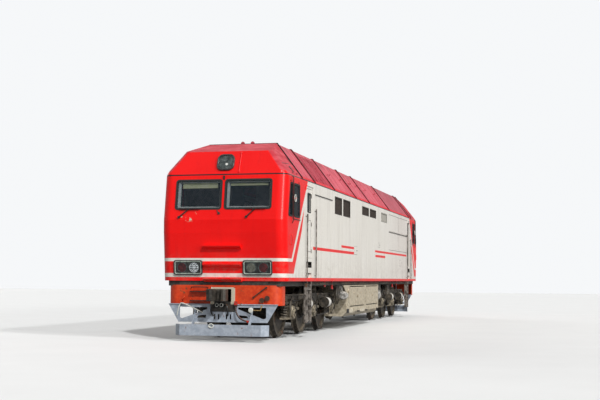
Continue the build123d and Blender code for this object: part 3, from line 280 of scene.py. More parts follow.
def roofPaint():
    material, surface, at = startFinish("roofPaint", gloss=0.2)
    x, y, z = axes(at)
    streak = grain(stretched(at, (9.0, 1.2, 1.2)), 1.0, 6.0, 0.68)
    colour = tint(ease(streak, 0.36, 0.66), roofReds["base"], roofReds["faded"])
    colour = tint(ease(grain(at, 1.1, 5.0, 0.6), 0.45, 0.7, 0.0, 0.7), colour, roofReds["cloud"])
    colour = tint(ease(x, -3.75, -3.6, 0.5, 0.0), colour, roofReds["rear"])
    soot = both(ease(z, 4.5, 4.84), ease(grain(at, 2.3, 6.0, 0.7), 0.42, 0.66))
    colour = tint(both(soot, 0.6), colour, roofReds["soot"])
    colour = tint(ease(z, 4.02, 4.04, 0.8, 0.0), colour, roofReds["foot"])
    colour = tint(bands(x, 0.042, 0.003), colour, roofReds["rib"])
    colour = tint(bands(x, 0.030, 0.004), colour, roofReds["line"])
    colour = tint(ease(z, 3.952, 3.958, 1.0, 0.0), colour, livery["dark"])
    fine = grain(at, 55.0, 5.0, 0.6)
    paint(surface, colour=colour, rough=ease(fine, 0.3, 0.7, 0.42, 0.68))
    relief(surface, fine, 0.0012)
    return material


def paneGlass():
    material, surface, at = startFinish("paneGlass", alpha=0.32, gloss=0.4)
    smear = grain(stretched(at, (1.0, 1.0, 0.5)), 2.6, 5.0, 0.6)
    paint(surface, colour=tint(smear, (0.006, 0.012, 0.020), (0.022, 0.036, 0.048)),
          rough=ease(smear, 0.4, 0.8, 0.03, 0.14))
    return material


def sealRubber():
    material, surface, at = startFinish("sealRubber", gloss=0.35)
    fine = grain(at, 120.0, 4.0)
    paint(surface, colour=tint(fine, (0.006, 0.010, 0.009), (0.020, 0.028, 0.026)),
          rough=ease(fine, 0.3, 0.7, 0.5, 0.7))
    relief(surface, fine, 0.0004)
    return material


# Colours of the carried-over parts, with marks where one solid has several
apronMarksAndShade = (
    ((0.012, 0.012, 0.013), ((10.335, 10.47), (0.30, 0.62), (0.44, 0.86))),  # brake hose
    ((0.50, 0.022, 0.020), ((10.30, 10.42), (0.30, 0.39), (0.86, 0.96))),  # its cock
    ((0.50, 0.022, 0.020), ((10.33, 10.40), (0.625, 0.69), (0.44, 0.51))),  # and its coupling
    ((0.045, 0.026, 0.018), ((10.296, 10.42), (0.90, 1.18), (0.90, 1.10))),  # sockets
    ((0.030, 0.020, 0.016), ((10.296, 10.42), (-0.80, -0.35), (0.93, 0.965))),  # treads: dark strips of painted shade at the tread slats
    ((0.030, 0.020, 0.016), ((10.296, 10.42), (-0.80, -0.35), (1.155, 1.185))),
    ((0.050, 0.030, 0.022), ((10.300, 10.40), (0.72, 1.10), (1.01, 1.30))))  # lever
# The guide frame is cream, and the inside of its opening is painted near-black as painted shade
guideMarksAndShade = (((0.55, 0.50, 0.38), ((10.20, 10.33), (-0.31, 0.31), (0.87, 1.28))),
              ((0.012, 0.011, 0.010), ((10.20, 10.33), (-0.205, 0.205), (0.86, 1.20))))
lugMarks = tuple(((0.62, 0.012, 0.016), (along, side, (1.0, 1.425)))
                 for along in ((4.94, 5.06), (5.84, 5.96)) for side in ((1.402, 1.46), (-1.46, -1.402)))
barrelMarks = tuple(((0.62, 0.60, 0.56), ((6.25 + x - 0.165, 6.25 + x + 0.165), side, (0.70, 0.98)))
                    for x in (-1.075, 1.075) for side in ((1.20, 1.42), (-1.42, -1.20)))
paleBlade = (((0.30, 0.285, 0.25), ((1.99, 3.14), (-1.7, 1.7), (3.40, 3.85))),)
bodyFinish = bodyPaint()
roofFinish = roofPaint()
glassFinish = paneGlass()
rubberFinish = sealRubber()
frameFinish = worn("frameDark", (0.022, 0.020, 0.018), (0.05, 0.044, 0.037), (0.20, 0.165, 0.12), 0.35, 0.15,
                   marks=lugMarks + guideMarksAndShade)
airFinish = worn("airTankGrey", (0.14, 0.135, 0.125), (0.62, 0.60, 0.56), (0.34, 0.30, 0.23), 0.35, 0.1,
                 grit=20.0)
gearFinish = worn("runningGear", (0.014, 0.012, 0.010), (0.066, 0.055, 0.042), (0.36, 0.30, 0.215), 0.4, 0.2,
                  grit=30.0, marks=barrelMarks)
boxFinish = worn("axleBoxes", (0.030, 0.026, 0.020), (0.26, 0.22, 0.16), (0.50, 0.43, 0.31), 0.65, 0.2,
                 grit=30.0)
wheelFinish = worn("wheelSteel", (0.016, 0.014, 0.012), (0.075, 0.062, 0.046), (0.34, 0.28, 0.20), 0.4, 0.3,
                   grit=24.0)
apronFinish = worn("apronOrange", (0.57, 0.036, 0.006), (0.68, 0.062, 0.012), (0.26, 0.10, 0.05), 0.35, 0.25,
                   rough=(0.38, 0.7), gloss=0.35, marks=apronMarksAndShade)
plowFinish = worn("plowBlue", (0.29, 0.33, 0.385), (0.39, 0.43, 0.485), (0.15, 0.15, 0.15), 0.28, 0.16,
                  rough=(0.4, 0.7))
tankFinish = worn("tankBeige", (0.33, 0.28, 0.20), (0.50, 0.44, 0.33), (0.58, 0.50, 0.37), 0.5, 0.12,
                  grit=30.0)
louvreFinish = worn("louvreBrown", (0.018, 0.012, 0.009), (0.032, 0.023, 0.017), (0.10, 0.08, 0.06), 0.25,
                    gloss=0.2, marks=paleBlade)
railFinish = worn("railPaint", (0.05, 0.042, 0.036), (0.27, 0.24, 0.21), (0.26, 0.21, 0.16), 0.3, 0.25)
deskFinish = worn("deskMoulding", (0.10, 0.11, 0.12), (0.16, 0.17, 0.18), (0.25, 0.24, 0.22), 0.1, grit=140.0,
                  depth=0.0005, rough=(0.45, 0.6))
innerFinish = worn("innerPaint", (0.20, 0.22, 0.20), (0.28, 0.29, 0.26), (0.22, 0.21, 0.19), 0.15,
                   rough=(0.5, 0.7))
fanFinish = worn("fanCast", (0.20, 0.20, 0.20), (0.32, 0.32, 0.31), (0.14, 0.12, 0.10), 0.4, metal=0.6)
couplerFinish = worn("couplerSteel", (0.008, 0.007, 0.006), (0.034, 0.029, 0.023), (0.34, 0.28, 0.20), 0.2,
                     0.2)
lampFinish = worn("lampCase", (0.02, 0.022, 0.022), (0.05, 0.054, 0.052), (0.16, 0.16, 0.15), 0.15,
                  rough=(0.3, 0.5))
blackFinish = worn("blackTrim", (0.008, 0.008, 0.009), (0.020, 0.019, 0.018), (0.12, 0.10, 0.08), 0.2,
                   rough=(0.4, 0.7))
boltFinish = worn("boltSteel", (0.05, 0.045, 0.038), (0.20, 0.175, 0.14), (0.36, 0.31, 0.23), 0.5, 0.35,
                  grit=90.0)
paleFinish = worn("paleTrim", (0.55, 0.56, 0.50), (0.72, 0.72, 0.66), (0.40, 0.36, 0.28), 0.25, 0.08,
                  rough=(0.35, 0.6))
redFinish = worn("redTrim", (0.60, 0.012, 0.012), (0.78, 0.03, 0.025), (0.30, 0.12, 0.08), 0.2, 0.05,
                 rough=(0.3, 0.6))
brassFinish = worn("brassStem", (0.42, 0.27, 0.10), (0.60, 0.42, 0.18), (0.25, 0.18, 0.10), 0.3, metal=0.8,
                   rough=(0.3, 0.55))

finishes = {
    "body_paint": bodyFinish, "door_paint": bodyFinish, "roof_paint": roofFinish, "frame_paint": frameFinish,
    "running_gear": gearFinish, "wheel_steel": wheelFinish, "apron_paint": apronFinish,
    "plow_paint": plowFinish, "tank_paint": tankFinish, "glass": glassFinish, "rubber": rubberFinish,
    "lamp": lampFinish,
    "louvre_paint": louvreFinish, "rail_steel": railFinish, "cab_trim": deskFinish, "seat_fabric": deskFinish,
    "inner_paint": innerFinish, "fan_metal": fanFinish, "coupler_steel": couplerFinish}
special = {"axleboxes_front": boxFinish, "axleboxes_rear": boxFinish, "air_reservoirs": airFinish}
slotOf = {part["node"]: part["material_slot"] for part in frame["record"]["subparts"]}
for name, node in cad.items():
    node.data.materials.clear()
    node.data.materials.append(special.get(name) or finishes[slotOf[name]])
print("finishes on the carried-over parts")

# Floor, backdrop and lamps: each sun has its strength, where it shines from and its softness
stageSizes = {"floor": 90.0, "ambient": 0.30, "bounce": 0.28, "horizon": 0.30, "air": (0.97, 0.985, 1.0)}
suns = {"key": (1.1, (0.287, 0.788, 0.545), 2.0), "fill": (2.25, (0.60, 0.45, 0.66), 2.0),
        "edge": (0.85, (0.45, 0.85, 0.26), 6.0), "back": (0.8, (-0.55, -0.70, 0.45), 25.0)}


def makeStage():
    mesh = bpy.data.meshes.new("floor")
    reach = stageSizes["floor"]
    mesh.from_pydata([(-reach, -reach, 0), (reach, -reach, 0), (reach, reach, 0), (-reach, reach, 0)], [],
                     [(0, 1, 2, 3)])
    floor = link(bpy.data.objects.new("floor", mesh))
    material, surface, at = startFinish("floorPale", rough=0.75, gloss=0.2)
    rays = put("ShaderNodeLightPath")
    pale = tint(grain(at, 0.6, 4.0), (0.72, 0.72, 0.71), (0.78, 0.78, 0.77))
    paint(surface, colour=tint(rays.outputs["Is Camera Ray"], (stageSizes["bounce"],) * 3, pale))
    mesh.materials.append(material)
    studio = bpy.data.worlds.new("paleStudio")
    bpy.context.scene.world = studio
    studio.use_nodes = True
    bench["tree"] = studio.node_tree
    back = bench["tree"].nodes["Background"]
    rays = put("ShaderNodeLightPath")
    up = axes(put("ShaderNodeTexCoord").outputs["Generated"])[2]
    sky = ease(up, 0.02, 0.5, stageSizes["horizon"], 0.95)  # reflections darken towards the horizon
    seen = either(rays.outputs["Is Camera Ray"], rays.outputs["Is Transmission Ray"])
    level = ease(rays.outputs["Is Glossy Ray"], 0.0, 1.0, stageSizes["ambient"], sky)
    wire(stageSizes["air"], back.inputs["Color"])
    wire(ease(seen, 0.0, 1.0, level, 0.95), back.inputs["Strength"])
    for name, (energy, origin, soft) in suns.items():
        lamp = link(bpy.data.objects.new(name + "Sun", bpy.data.lights.new(name + "Sun", "SUN")))
        lamp.data.energy = energy
        lamp.data.angle = math.radians(soft)
        lamp.matrix_world = Vector(origin).to_track_quat("Z", "Y").to_matrix().to_4x4()


makeStage()
print("stage ready")


# Mesh helpers: every shape is laid on a place, a function from (across, up, out) to a point
def flat(origin, u, v, w):
    origin, u, v, w = Vector(origin), Vector(u), Vector(v), Vector(w)
    return lambda a, b, c=0.0: origin + u * a + v * b + w * c


def upright(x=0, y=0, z=0, way=1):  # lies on the floor
    return flat((x, y, z), (way, 0, 0), (0, 1, 0), (0, 0, 1))


def sideOn(side, y, x=0, z=0, way=1):  # faces a side of the vehicle
    return flat((x, side * y, z), (way, 0, 0), (0, 0, 1), (0, side, 0))


def endOn(sign, x, y, z):  # faces an end of the vehicle
    return flat((sign * x, y, z), (0, 1, 0), (0, 0, 1), (sign, 0, 0))


def slope(x0, z0, x1, z1, sign=1):  # a face across the nose, from one height to another
    run = math.hypot(x1 - x0, z1 - z0)
    tx, tz = (x1 - x0) / run, (z1 - z0) / run
    return flat((sign * x0, 0, z0), (0, 1, 0), (sign * tx, 0, tz), (sign * tz, 0, -tx))


ground = upright()


def atEnd(points, sign, side=1):  # points given for the front left corner, at any corner
    return [(sign * x, side * y, z) for x, y, z in points]


def newMeshes(count):
    return [bmesh.new() for number in range(count)]


def skin(bm, rings):
    rows = [[bm.verts.new(p) for p in ring] for ring in rings]
    count = len(rows[0])
    for low, high in zip(rows, rows[1:]):
        for i in range(count):
            j = (i + 1) % count
            bm.faces.new((low[i], low[j], high[j], high[i]))
    bm.faces.new(list(reversed(rows[0])))
    bm.faces.new(rows[-1])


def plate(bm, place, outline, low, high):
    skin(bm, [[place(a, b, low) for a, b in outline], [place(a, b, high) for a, b in outline]])


def slab(bm, place, a0, a1, b0, b1, low, high):
    plate(bm, place, [(a0, b0), (a1, b0), (a1, b1), (a0, b1)], low, high)


def block(bm, x0, x1, y0, y1, z0, z1):
    slab(bm, ground, *sorted((x0, x1)), *sorted((y0, y1)), z0, z1)


def frameRing(bm, place, outer, inner, low, high):
    count = len(outer)
    rows = [[bm.verts.new(place(a, b, c)) for a, b in line] for line, c in
            ((outer, low), (outer, high), (inner, high), (inner, low))]
    rows.append(rows[0])
    for first, second in zip(rows, rows[1:]):
        for i in range(count):
            j = (i + 1) % count
            bm.faces.new((first[i], first[j], second[j], second[i]))


def roundedBox(ca, cb, width, height, radius, steps=5):
    points = []
    for sx, sy, start in ((1, 1, 0), (-1, 1, 90), (-1, -1, 180), (1, -1, 270)):
        for step in range(steps + 1):
            angle = math.radians(start + 90 * step / steps)
            points.append((ca + sx * (width / 2 - radius) + radius * math.cos(angle),
                           cb + sy * (height / 2 - radius) + radius * math.sin(angle)))
    return points


def boxRing(bm, place, ca, cb, width, height, inner, corners, low, high, steps=5):  # inner: how much narrower
    frameRing(bm, place, roundedBox(ca, cb, width, height, corners[0], steps),
              roundedBox(ca, cb, width - inner, height - inner, corners[1], steps), low, high)


def circle(ca, cb, radius, sides=24):
    return [(ca + radius * math.cos(2 * math.pi * i / sides), cb + radius * math.sin(2 * math.pi * i / sides))
            for i in range(sides)]


def lathe(bm, place, ca, cb, profile, sides=28):  # profile of (radius, out), turned about the outward line
    skin(bm, [[place(a, b, out) for a, b in circle(ca, cb, max(radius, 0.0004), sides)]
              for radius, out in profile])


def rodBetween(bm, start, end, radius, sides=12, endRadius=None):
    start, end = Vector(start), Vector(end)
    axis = (end - start).normalized()
    side = axis.orthogonal().normalized()
    place = flat(start, side, axis.cross(side), axis)
    tip = circle(0, 0, radius if endRadius is None else endRadius, sides)
    skin(bm, [[place(a, b, 0) for a, b in circle(0, 0, radius, sides)],
              [place(a, b, (end - start).length) for a, b in tip]])


def smoothPath(points, steps):  # Catmull-Rom run through the points
    ends = [points[0] * 2 - points[1]] + points + [points[-1] * 2 - points[-2]]
    path = []
    for i in range(1, len(ends) - 2):
        a, b, c, d = ends[i - 1:i + 3]
        for step in range(steps):
            t = step / steps
            path.append(0.5 * (2 * b + (c - a) * t + (2 * a - 5 * b + 4 * c - d) * t * t
                               + (3 * b - a - 3 * c + d) * t ** 3))
    return path + [points[-1]]


def tube(bm, points, radius, sides=10, smooth=0):
    path = [Vector(p) for p in points]
    if smooth:
        path = smoothPath(path, smooth)
    last = len(path) - 1
    tangents = [(path[min(i + 1, last)] - path[max(i - 1, 0)]).normalized() for i in range(last + 1)]
    side = tangents[0].orthogonal().normalized()
    rings = []
    for point, tangent in zip(path, tangents):
        side = (side - tangent * side.dot(tangent)).normalized()
        other = tangent.cross(side)
        rings.append([point + side * (radius * math.cos(2 * math.pi * k / sides))
                      + other * (radius * math.sin(2 * math.pi * k / sides)) for k in range(sides)])
    skin(bm, rings)


def soften(mesh, angle):
    mesh.shade_smooth()
    mesh.set_sharp_from_angle(angle=math.radians(angle))


def settle(piece, body):  # the last step for an object of the part
    link(piece)
    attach(piece, body)
    return piece


def makePiece(name, bm, material, bevel=0.0, body="body"):
    bmesh.ops.recalc_face_normals(bm, faces=bm.faces)
    mesh = bpy.data.meshes.new(name)
    bm.to_mesh(mesh)
    bm.free()
    mesh.materials.append(material)
    soften(mesh, 35.0)
    piece = bpy.data.objects.new(name, mesh)
    if bevel:
        edges = piece.modifiers.new("softEdges", "BEVEL")
        edges.width = bevel
        edges.segments = 2
        edges.limit_method = "ANGLE"
        edges.angle_limit = math.radians(40)
    return settle(piece, body)


def evaluated(piece):
    return bpy.data.meshes.new_from_object(piece.evaluated_get(bpy.context.evaluated_depsgraph_get()))


# Geometry Nodes: each tree has named inputs for its sizes and ends in plain mesh with its finish
def startTree(name, sizes):
    tree = bpy.data.node_groups.new(name, "GeometryNodeTree")
    tree.interface.new_socket("Geometry", in_out="INPUT", socket_type="NodeSocketGeometry")
    for label, value in sizes.items():
        kind = "NodeSocketInt" if isinstance(value, int) else "NodeSocketFloat"
        tree.interface.new_socket(label, in_out="INPUT", socket_type=kind).default_value = value
    tree.interface.new_socket("Finish", in_out="INPUT", socket_type="NodeSocketMaterial")
    tree.interface.new_socket("Geometry", in_out="OUTPUT", socket_type="NodeSocketGeometry")
    bench["tree"] = tree
    return put("NodeGroupInput").outputs


def endTree(given, shape):  # a copy of the shape on each point, turned to the point's aim
    aim = put("GeometryNodeInputNamedAttribute", {"Name": "aim"}, data_type="FLOAT_VECTOR")
    turn = put("FunctionNodeAlignRotationToVector", {"Vector": aim.outputs[0]}, axis="Z")
    copies = put("GeometryNodeInstanceOnPoints",
                 {"Points": given["Geometry"], "Instance": shape, "Rotation": turn.outputs[0]})
    real = put("GeometryNodeRealizeInstances", {"Geometry": copies.outputs[0]})
    done = put("GeometryNodeSetMaterial", {"Geometry": real.outputs[0], "Material": given["Finish"]})
    put("NodeGroupOutput", {"Geometry": done.outputs[0]})
    return bench["tree"]


def boltTree():
    given = startTree("boltHeads", {"Radius": 0.012, "Height": 0.008, "Taper": 0.85, "Sides": 6})
    top = both(given["Radius"], given["Taper"])
    head = put("GeometryNodeMeshCone", {"Vertices": given["Sides"], "Radius Top": top,
                                        "Radius Bottom": given["Radius"], "Depth": given["Height"]})
    return endTree(given, head.outputs["Mesh"])


def coilTree():
    given = startTree("coilSprings", {"Radius": 0.08, "Wire": 0.015, "Height": 0.34, "Turns": 5.0})
    line = put("GeometryNodeCurveSpiral", {"Resolution": 20, "Rotations": given["Turns"],
                                           "Start Radius": given["Radius"], "End Radius": given["Radius"],
                                           "Height": given["Height"]})
    section = put("GeometryNodeCurvePrimitiveCircle", {"Resolution": 8, "Radius": given["Wire"]})
    coil = put("GeometryNodeCurveToMesh", {"Curve": line.outputs[0], "Profile Curve": section.outputs[0],
                                           "Fill Caps": True})
    return endTree(given, coil.outputs[0])


def grown(name, tree, points, sizes, material, body="body", smooth=0.0):  # points of (place, aim)
    mesh = bpy.data.meshes.new(name + "Points")
    mesh.from_pydata([place for place, aim in points], [], [])
    aims = [part for place, aim in points for part in aim]
    mesh.attributes.new("aim", "FLOAT_VECTOR", "POINT").data.foreach_set("vector", aims)
    seed = link(bpy.data.objects.new(name + "Points", mesh))
    maker = seed.modifiers.new("maker", "NODES")
    maker.node_group = tree
    for socket in tree.interface.items_tree:
        if socket.in_out == "INPUT" and socket.name in sizes:
            maker[socket.identifier] = sizes[socket.name]
        if socket.name == "Finish":
            maker[socket.identifier] = material
    bpy.context.view_layer.update()
    result = evaluated(seed)
    bpy.data.objects.remove(seed)
    if smooth:
        soften(result, smooth)
    return settle(bpy.data.objects.new(name, result), body)


bolts = boltTree()
coils = coilTree()


# Bolt heads, rivets or screws; size is radius, height, sides and, where it isn't the usual one, taper
def studs(name, points, size, material, body="body", smooth=0.0):
    sizes = dict(zip(("Radius", "Height", "Sides", "Taper"), size))
    grown(name, bolts, points, sizes, material, body, smooth)


def row(start, end, pitch, aim):  # evenly spaced points from one end to the other
    start, end = Vector(start), Vector(end)
    count = max(1, round((end - start).length / pitch))
    return [(start.lerp(end, i / count), aim) for i in range(count + 1)]


def ringOf(place, ca, cb, radius, count, start, aim):  # evenly spaced points on a circle
    angles = [math.radians(start + 360 * number / count) for number in range(count)]
    return [(place(ca + radius * math.cos(angle), cb + radius * math.sin(angle)), aim) for angle in angles]


# Faces of the nose, from the shapes in the frame
nose = {"sill": (10.30, 1.42), "waist": (10.42, 2.55), "crease": (10.43, 2.86), "eave": (10.28, 3.945),
        "brow": (10.05, 4.52)}


def noseFaces(sign):  # below the waist, the windscreen's and the headlight's
    return [slope(*nose[foot], *nose[head], sign) for foot, head in
            (("sill", "waist"), ("crease", "eave"), ("eave", "brow"))]


# Windscreens: inner frames and sun blinds, with side, drop, depth and half width of each blind
windscreen = {"middle": 0.615, "width": 1.17, "height": 0.737, "up": 0.6107, "inset": 0.045 + 0.004,
              "corners": (0.040, 0.025), "reveal": (-0.115, -0.030), "wall": 0.02,
              "blinds": ((-1, 0.085, 0.115, 0.44), (1, 0.10, 0.045, 0.46))}


def makeScreens():
    frames, blinds = newMeshes(2)
    inset = windscreen["inset"]
    wall = windscreen["wall"]
    up = windscreen["up"]
    tall = windscreen["height"]
    for sign in (1, -1):
        screen = noseFaces(sign)[1]
        for side in (-1, 1):
            across = side * windscreen["middle"]
            boxRing(frames, screen, across, up, windscreen["width"] - 2 * inset, tall - 2 * inset, 2 * wall,
                    windscreen["corners"], *windscreen["reveal"])
            left = sign * across - windscreen["width"] / 2 + inset + wall
            foot = up - tall / 2 + inset + wall
            slab(frames, screen, left, left + 0.035, foot, up + tall / 2 - inset - wall, -0.10, -0.06)
            slab(frames, screen, left + 0.035, left + 0.93, foot, foot + 0.022, -0.10, -0.07)
        for side, drop, depth, reach in windscreen["blinds"]:
            across = sign * side * windscreen["middle"]
            top = up + tall / 2 - drop
            slab(blinds, screen, across - reach, across + reach, top - depth, top, -0.085, -0.078)
            rodBetween(blinds, screen(across - reach, top, -0.082), screen(across + reach, top, -0.082), 0.014)
    grey = worn("windowFrame", (0.62, 0.70, 0.70), (0.78, 0.84, 0.82), (0.5, 0.5, 0.48), 0.1,
                rough=(0.35, 0.5))
    cloth = worn("blindSheet", (0.78, 0.84, 0.48), (0.86, 0.90, 0.62), (0.6, 0.6, 0.5), 0.05, grit=200.0)
    makePiece("screenFrames", frames, grey, 0.002)
    makePiece("sunBlinds", blinds, cloth)


makeScreens()

# Headlight in the brow and the lamp clusters beside the nose, with the profiles of their turned parts
headlight = {"up": 0.3123, "wide": 0.43, "corner": 0.14,
             "bowl": [(0.185, 0.030), (0.178, 0.031), (0.15, 0.020), (0.09, 0.014), (0.03, 0.0125),
                      (0.001, 0.0125)],
             "bulb": [(0.056, 0.014), (0.052, 0.024), (0.030, 0.031), (0.001, 0.033)]}


def makeHeadlights():
    rims, bowls, bulbs, panes = newMeshes(4)
    up = headlight["up"]
    wide = headlight["wide"]
    corner = headlight["corner"]
    for sign in (1, -1):
        brow = noseFaces(sign)[2]
        boxRing(rims, brow, 0, up, wide - 0.012, wide - 0.012, 0.058, (corner - 0.006, corner - 0.03),
                0.030, 0.046, 8)
        lathe(bowls, brow, 0, up, headlight["bowl"])
        lathe(bulbs, brow, 0.03, up - 0.055, headlight["bulb"], 16)
        plate(panes, brow, roundedBox(0, up, wide - 0.075, wide - 0.075, corner - 0.03, 8), 0.034, 0.038)
    dark = worn("lampBowl", (0.02, 0.03, 0.028), (0.22, 0.26, 0.25), (0.2, 0.2, 0.18), 0.1, metal=0.5,
                grit=60.0, rough=(0.15, 0.35))
    # The bulb is pale and glows: a painted reflection of the sun in the bowl, as the lamp is not lit
    bulbGlint, surface, at = startFinish("bulbPaintedGlint", rough=0.15, glow=0.6, glowColour=(1.0, 0.98, 0.9))
    paint(surface, colour=tint(grain(at, 60.0), (0.8, 0.8, 0.75), (0.95, 0.95, 0.9)))
    pane, surface, at = startFinish("headlightGlass", rough=0.06, alpha=0.25, gloss=0.6)
    paint(surface, colour=tint(grain(at, 9.0, 4.0), (0.02, 0.03, 0.03), (0.07, 0.09, 0.085)))
    relief(surface, grain(at, 30.0, 2.0), 0.002)
    makePiece("headlightRims", rims, lampFinish, 0.003)
    makePiece("headlightBowls", bowls, dark)
    makePiece("headlightBulbs", bulbs, bulbGlint)
    makePiece("headlightGlasses", panes, pane)


lampRadius = 0.118
cluster = {"across": 0.86, "up": 0.315, "wide": 0.72, "tall": 0.35, "apart": 0.15, "screw": 0.035,
           "socket": [(lampRadius + 0.008, 0.012), (lampRadius + 0.008, 0.034), (lampRadius - 0.006, 0.034),
                      (lampRadius - 0.02, 0.024), (0.01, 0.022)],
           "lens": [(lampRadius - 0.008, 0.026), (lampRadius - 0.012, 0.033), (lampRadius * 0.6, 0.038),
                    (lampRadius * 0.25, 0.040), (0.001, 0.0405)],
           "cell": [(0.017, 0.024), (0.015, 0.034), (0.008, 0.040), (0.0008, 0.041)],
           "core": [(0.020, 0.024), (0.018, 0.036), (0.001, 0.041)], "cells": ((0.045, 6), (0.086, 12))}


def makeClusters():
    rims, inner, bowls, redLens, clearLens, dullLens = newMeshes(6)
    screws = []
    up, w, h = cluster["up"], cluster["wide"], cluster["tall"]
    right, top = w / 2 - cluster["screw"], h / 2 - cluster["screw"]
    for sign in (1, -1):
        lower = noseFaces(sign)[0]
        normal = lower(0, 0, 1) - lower(0, 0, 0)
        for side in (-1, 1):
            across = side * cluster["across"]
            boxRing(rims, lower, across, up, w, h, 0.05, (0.05, 0.035), 0.028, 0.037)
            boxRing(inner, lower, across, up, w - 0.052, h - 0.052, 0.032, (0.035, 0.03), 0.010, 0.035)
            screws += [(lower(across + a, up + b, 0.034), normal) for a in (-right, right)
                       for b in (-top, top)]
            for step, lens in ((1, redLens), (-1, clearLens if sign * side < 0 else dullLens)):
                a = across + side * step * cluster["apart"]
                lathe(bowls, lower, a, up, cluster["socket"])
                if lens is clearLens:  # a cluster of small reflectors behind one glass
                    for ring, count in cluster["cells"]:
                        for ca, cb in circle(a, up, ring, count):
                            lathe(lens, lower, ca, cb, cluster["cell"], 10)
                    lathe(lens, lower, a, up, cluster["core"], 12)
                    frameRing(lens, lower, circle(a, up, lampRadius - 0.002),
                              circle(a, up, lampRadius - 0.012), 0.024, 0.038)
                else:
                    lathe(lens, lower, a, up, cluster["lens"])
    pale = worn("lampFrame", (0.30, 0.36, 0.31), (0.50, 0.56, 0.48), (0.3, 0.3, 0.25), 0.15, rough=(0.3, 0.5))
    red = worn("redLens", (0.030, 0.006, 0.008), (0.085, 0.012, 0.014), (0.15, 0.12, 0.12), 0.05,
               rough=(0.12, 0.3), gloss=0.6)
    clear = worn("clearLens", (0.40, 0.44, 0.46), (0.70, 0.74, 0.76), (0.3, 0.3, 0.3), 0.05,
                 rough=(0.12, 0.25), gloss=0.7)
    dull = worn("dullLens", (0.07, 0.075, 0.06), (0.13, 0.135, 0.11), (0.15, 0.15, 0.13), 0.1,
                rough=(0.15, 0.3), gloss=0.6)
    dark = worn("lampSocket", (0.030, 0.038, 0.038), (0.07, 0.085, 0.085), (0.1, 0.1, 0.1), 0.1,
                rough=(0.25, 0.4))
    makePiece("clusterRims", rims, lampFinish, 0.003)
    makePiece("clusterInnerFrames", inner, pale, 0.002)
    makePiece("lampSockets", bowls, dark)
    makePiece("redLenses", redLens, red)
    makePiece("clearLenses", clearLens, clear)
    makePiece("dullLenses", dullLens, dull)
    studs("clusterScrews", screws, (0.010, 0.005, 12, 0.7), boltFinish, smooth=40.0)


makeHeadlights()
makeClusters()
print("lamps made")

# Running gear: sizes are along a bogie, from its pivot
bogie = {"pivot": 6.25, "axles": (-2.15, 0.0, 2.15), "springStep": 0.33, "side": 1.065, "springFoot": 0.520,
         "springHead": 0.868, "springRadius": 0.080, "wire": 0.0146, "turns": 5.0, "seatRim": 0.093,
         "seatCore": 0.030, "bearerStep": 0.33,
         "bearerLow": 1.0903, "bearerHigh": 1.2997, "bearerRadius": 0.132, "layers": 5, "axleHeight": 0.64,
         "coverFace": 1.2395, "capFace": 1.2595, "coverBolts": 0.128, "capBolts": 0.062,
         "cylinders": (-1.075, 1.075), "cylinderSide": 1.278, "cylinderHeight": 0.84, "cylinderRadius": 0.13,
         "cylinderHalf": 0.18, "plateBolts": (-2.62, -1.72, -1.3, -0.62, -0.18, 0.18, 0.62, 1.3, 1.72, 2.62),
         "plateRows": (0.945, 1.035), "plateFace": 1.139}


def onBogies(build):  # builds in bogie sizes, once for each: (name of the body, place along the rails)
    for name, sign in (("bogie_front", 1), ("bogie_rear", -1)):
        build(name, lambda x: sign * (bogie["pivot"] + x))


def bogieSprings(body, place):
    low, high, r, thick = (bogie[key] for key in ("springFoot", "springHead", "springRadius", "wire"))
    spots = [(place(x + step), side * bogie["side"]) for x in bogie["axles"]
             for step in (-bogie["springStep"], bogie["springStep"]) for side in (-1, 1)]
    sizes = {"Radius": r, "Wire": thick, "Height": high - low - 2 * thick, "Turns": bogie["turns"]}
    feet = [((x, y, low + thick), (0, 0, 1)) for x, y in spots]
    coil = grown(body + "_coils", coils, feet, sizes, gearFinish, body, 50.0)
    bm = bmesh.new()
    rim = bogie["seatRim"]
    core = bogie["seatCore"]
    profile = [(0.001, low), (rim, low), (rim, low + 0.010), (r - 0.020, low + 0.014), (r - 0.024, low + 0.06),
               (core, low + 0.07), (core, high - 0.05), (r - 0.024, high - 0.045), (r - 0.020, high - 0.012),
               (rim, high - 0.010), (rim, high), (0.001, high)]
    for x, y in spots:
        lathe(bm, upright(x, y), 0, 0, profile, 20)
    low, high, r = (bogie[key] for key in ("bearerLow", "bearerHigh", "bearerRadius"))
    pitch = (high - low - 0.03) / bogie["layers"]
    profile = [(0.001, low), (r, low), (r, low + 0.015)]
    for layer in range(bogie["layers"]):
        z = low + 0.015 + pitch * layer
        profile += [(r - 0.022, z + pitch * 0.1), (r - 0.010, z + pitch * 0.5), (r - 0.022, z + pitch * 0.85),
                    (r - 0.004, z + pitch * 0.88), (r - 0.004, z + pitch)]
    profile += [(r, high - 0.015), (r, high), (0.001, high)]
    for x in (-bogie["bearerStep"], bogie["bearerStep"]):
        for side in (-1, 1):
            lathe(bm, upright(place(x), side * bogie["side"]), 0, 0, profile, 24)
    seats = makePiece(body + "_springSeats", bm, gearFinish, body=body)
    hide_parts("bogie_springs_" + body[6:])
    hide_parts("bogie_springs_" + body[6:])


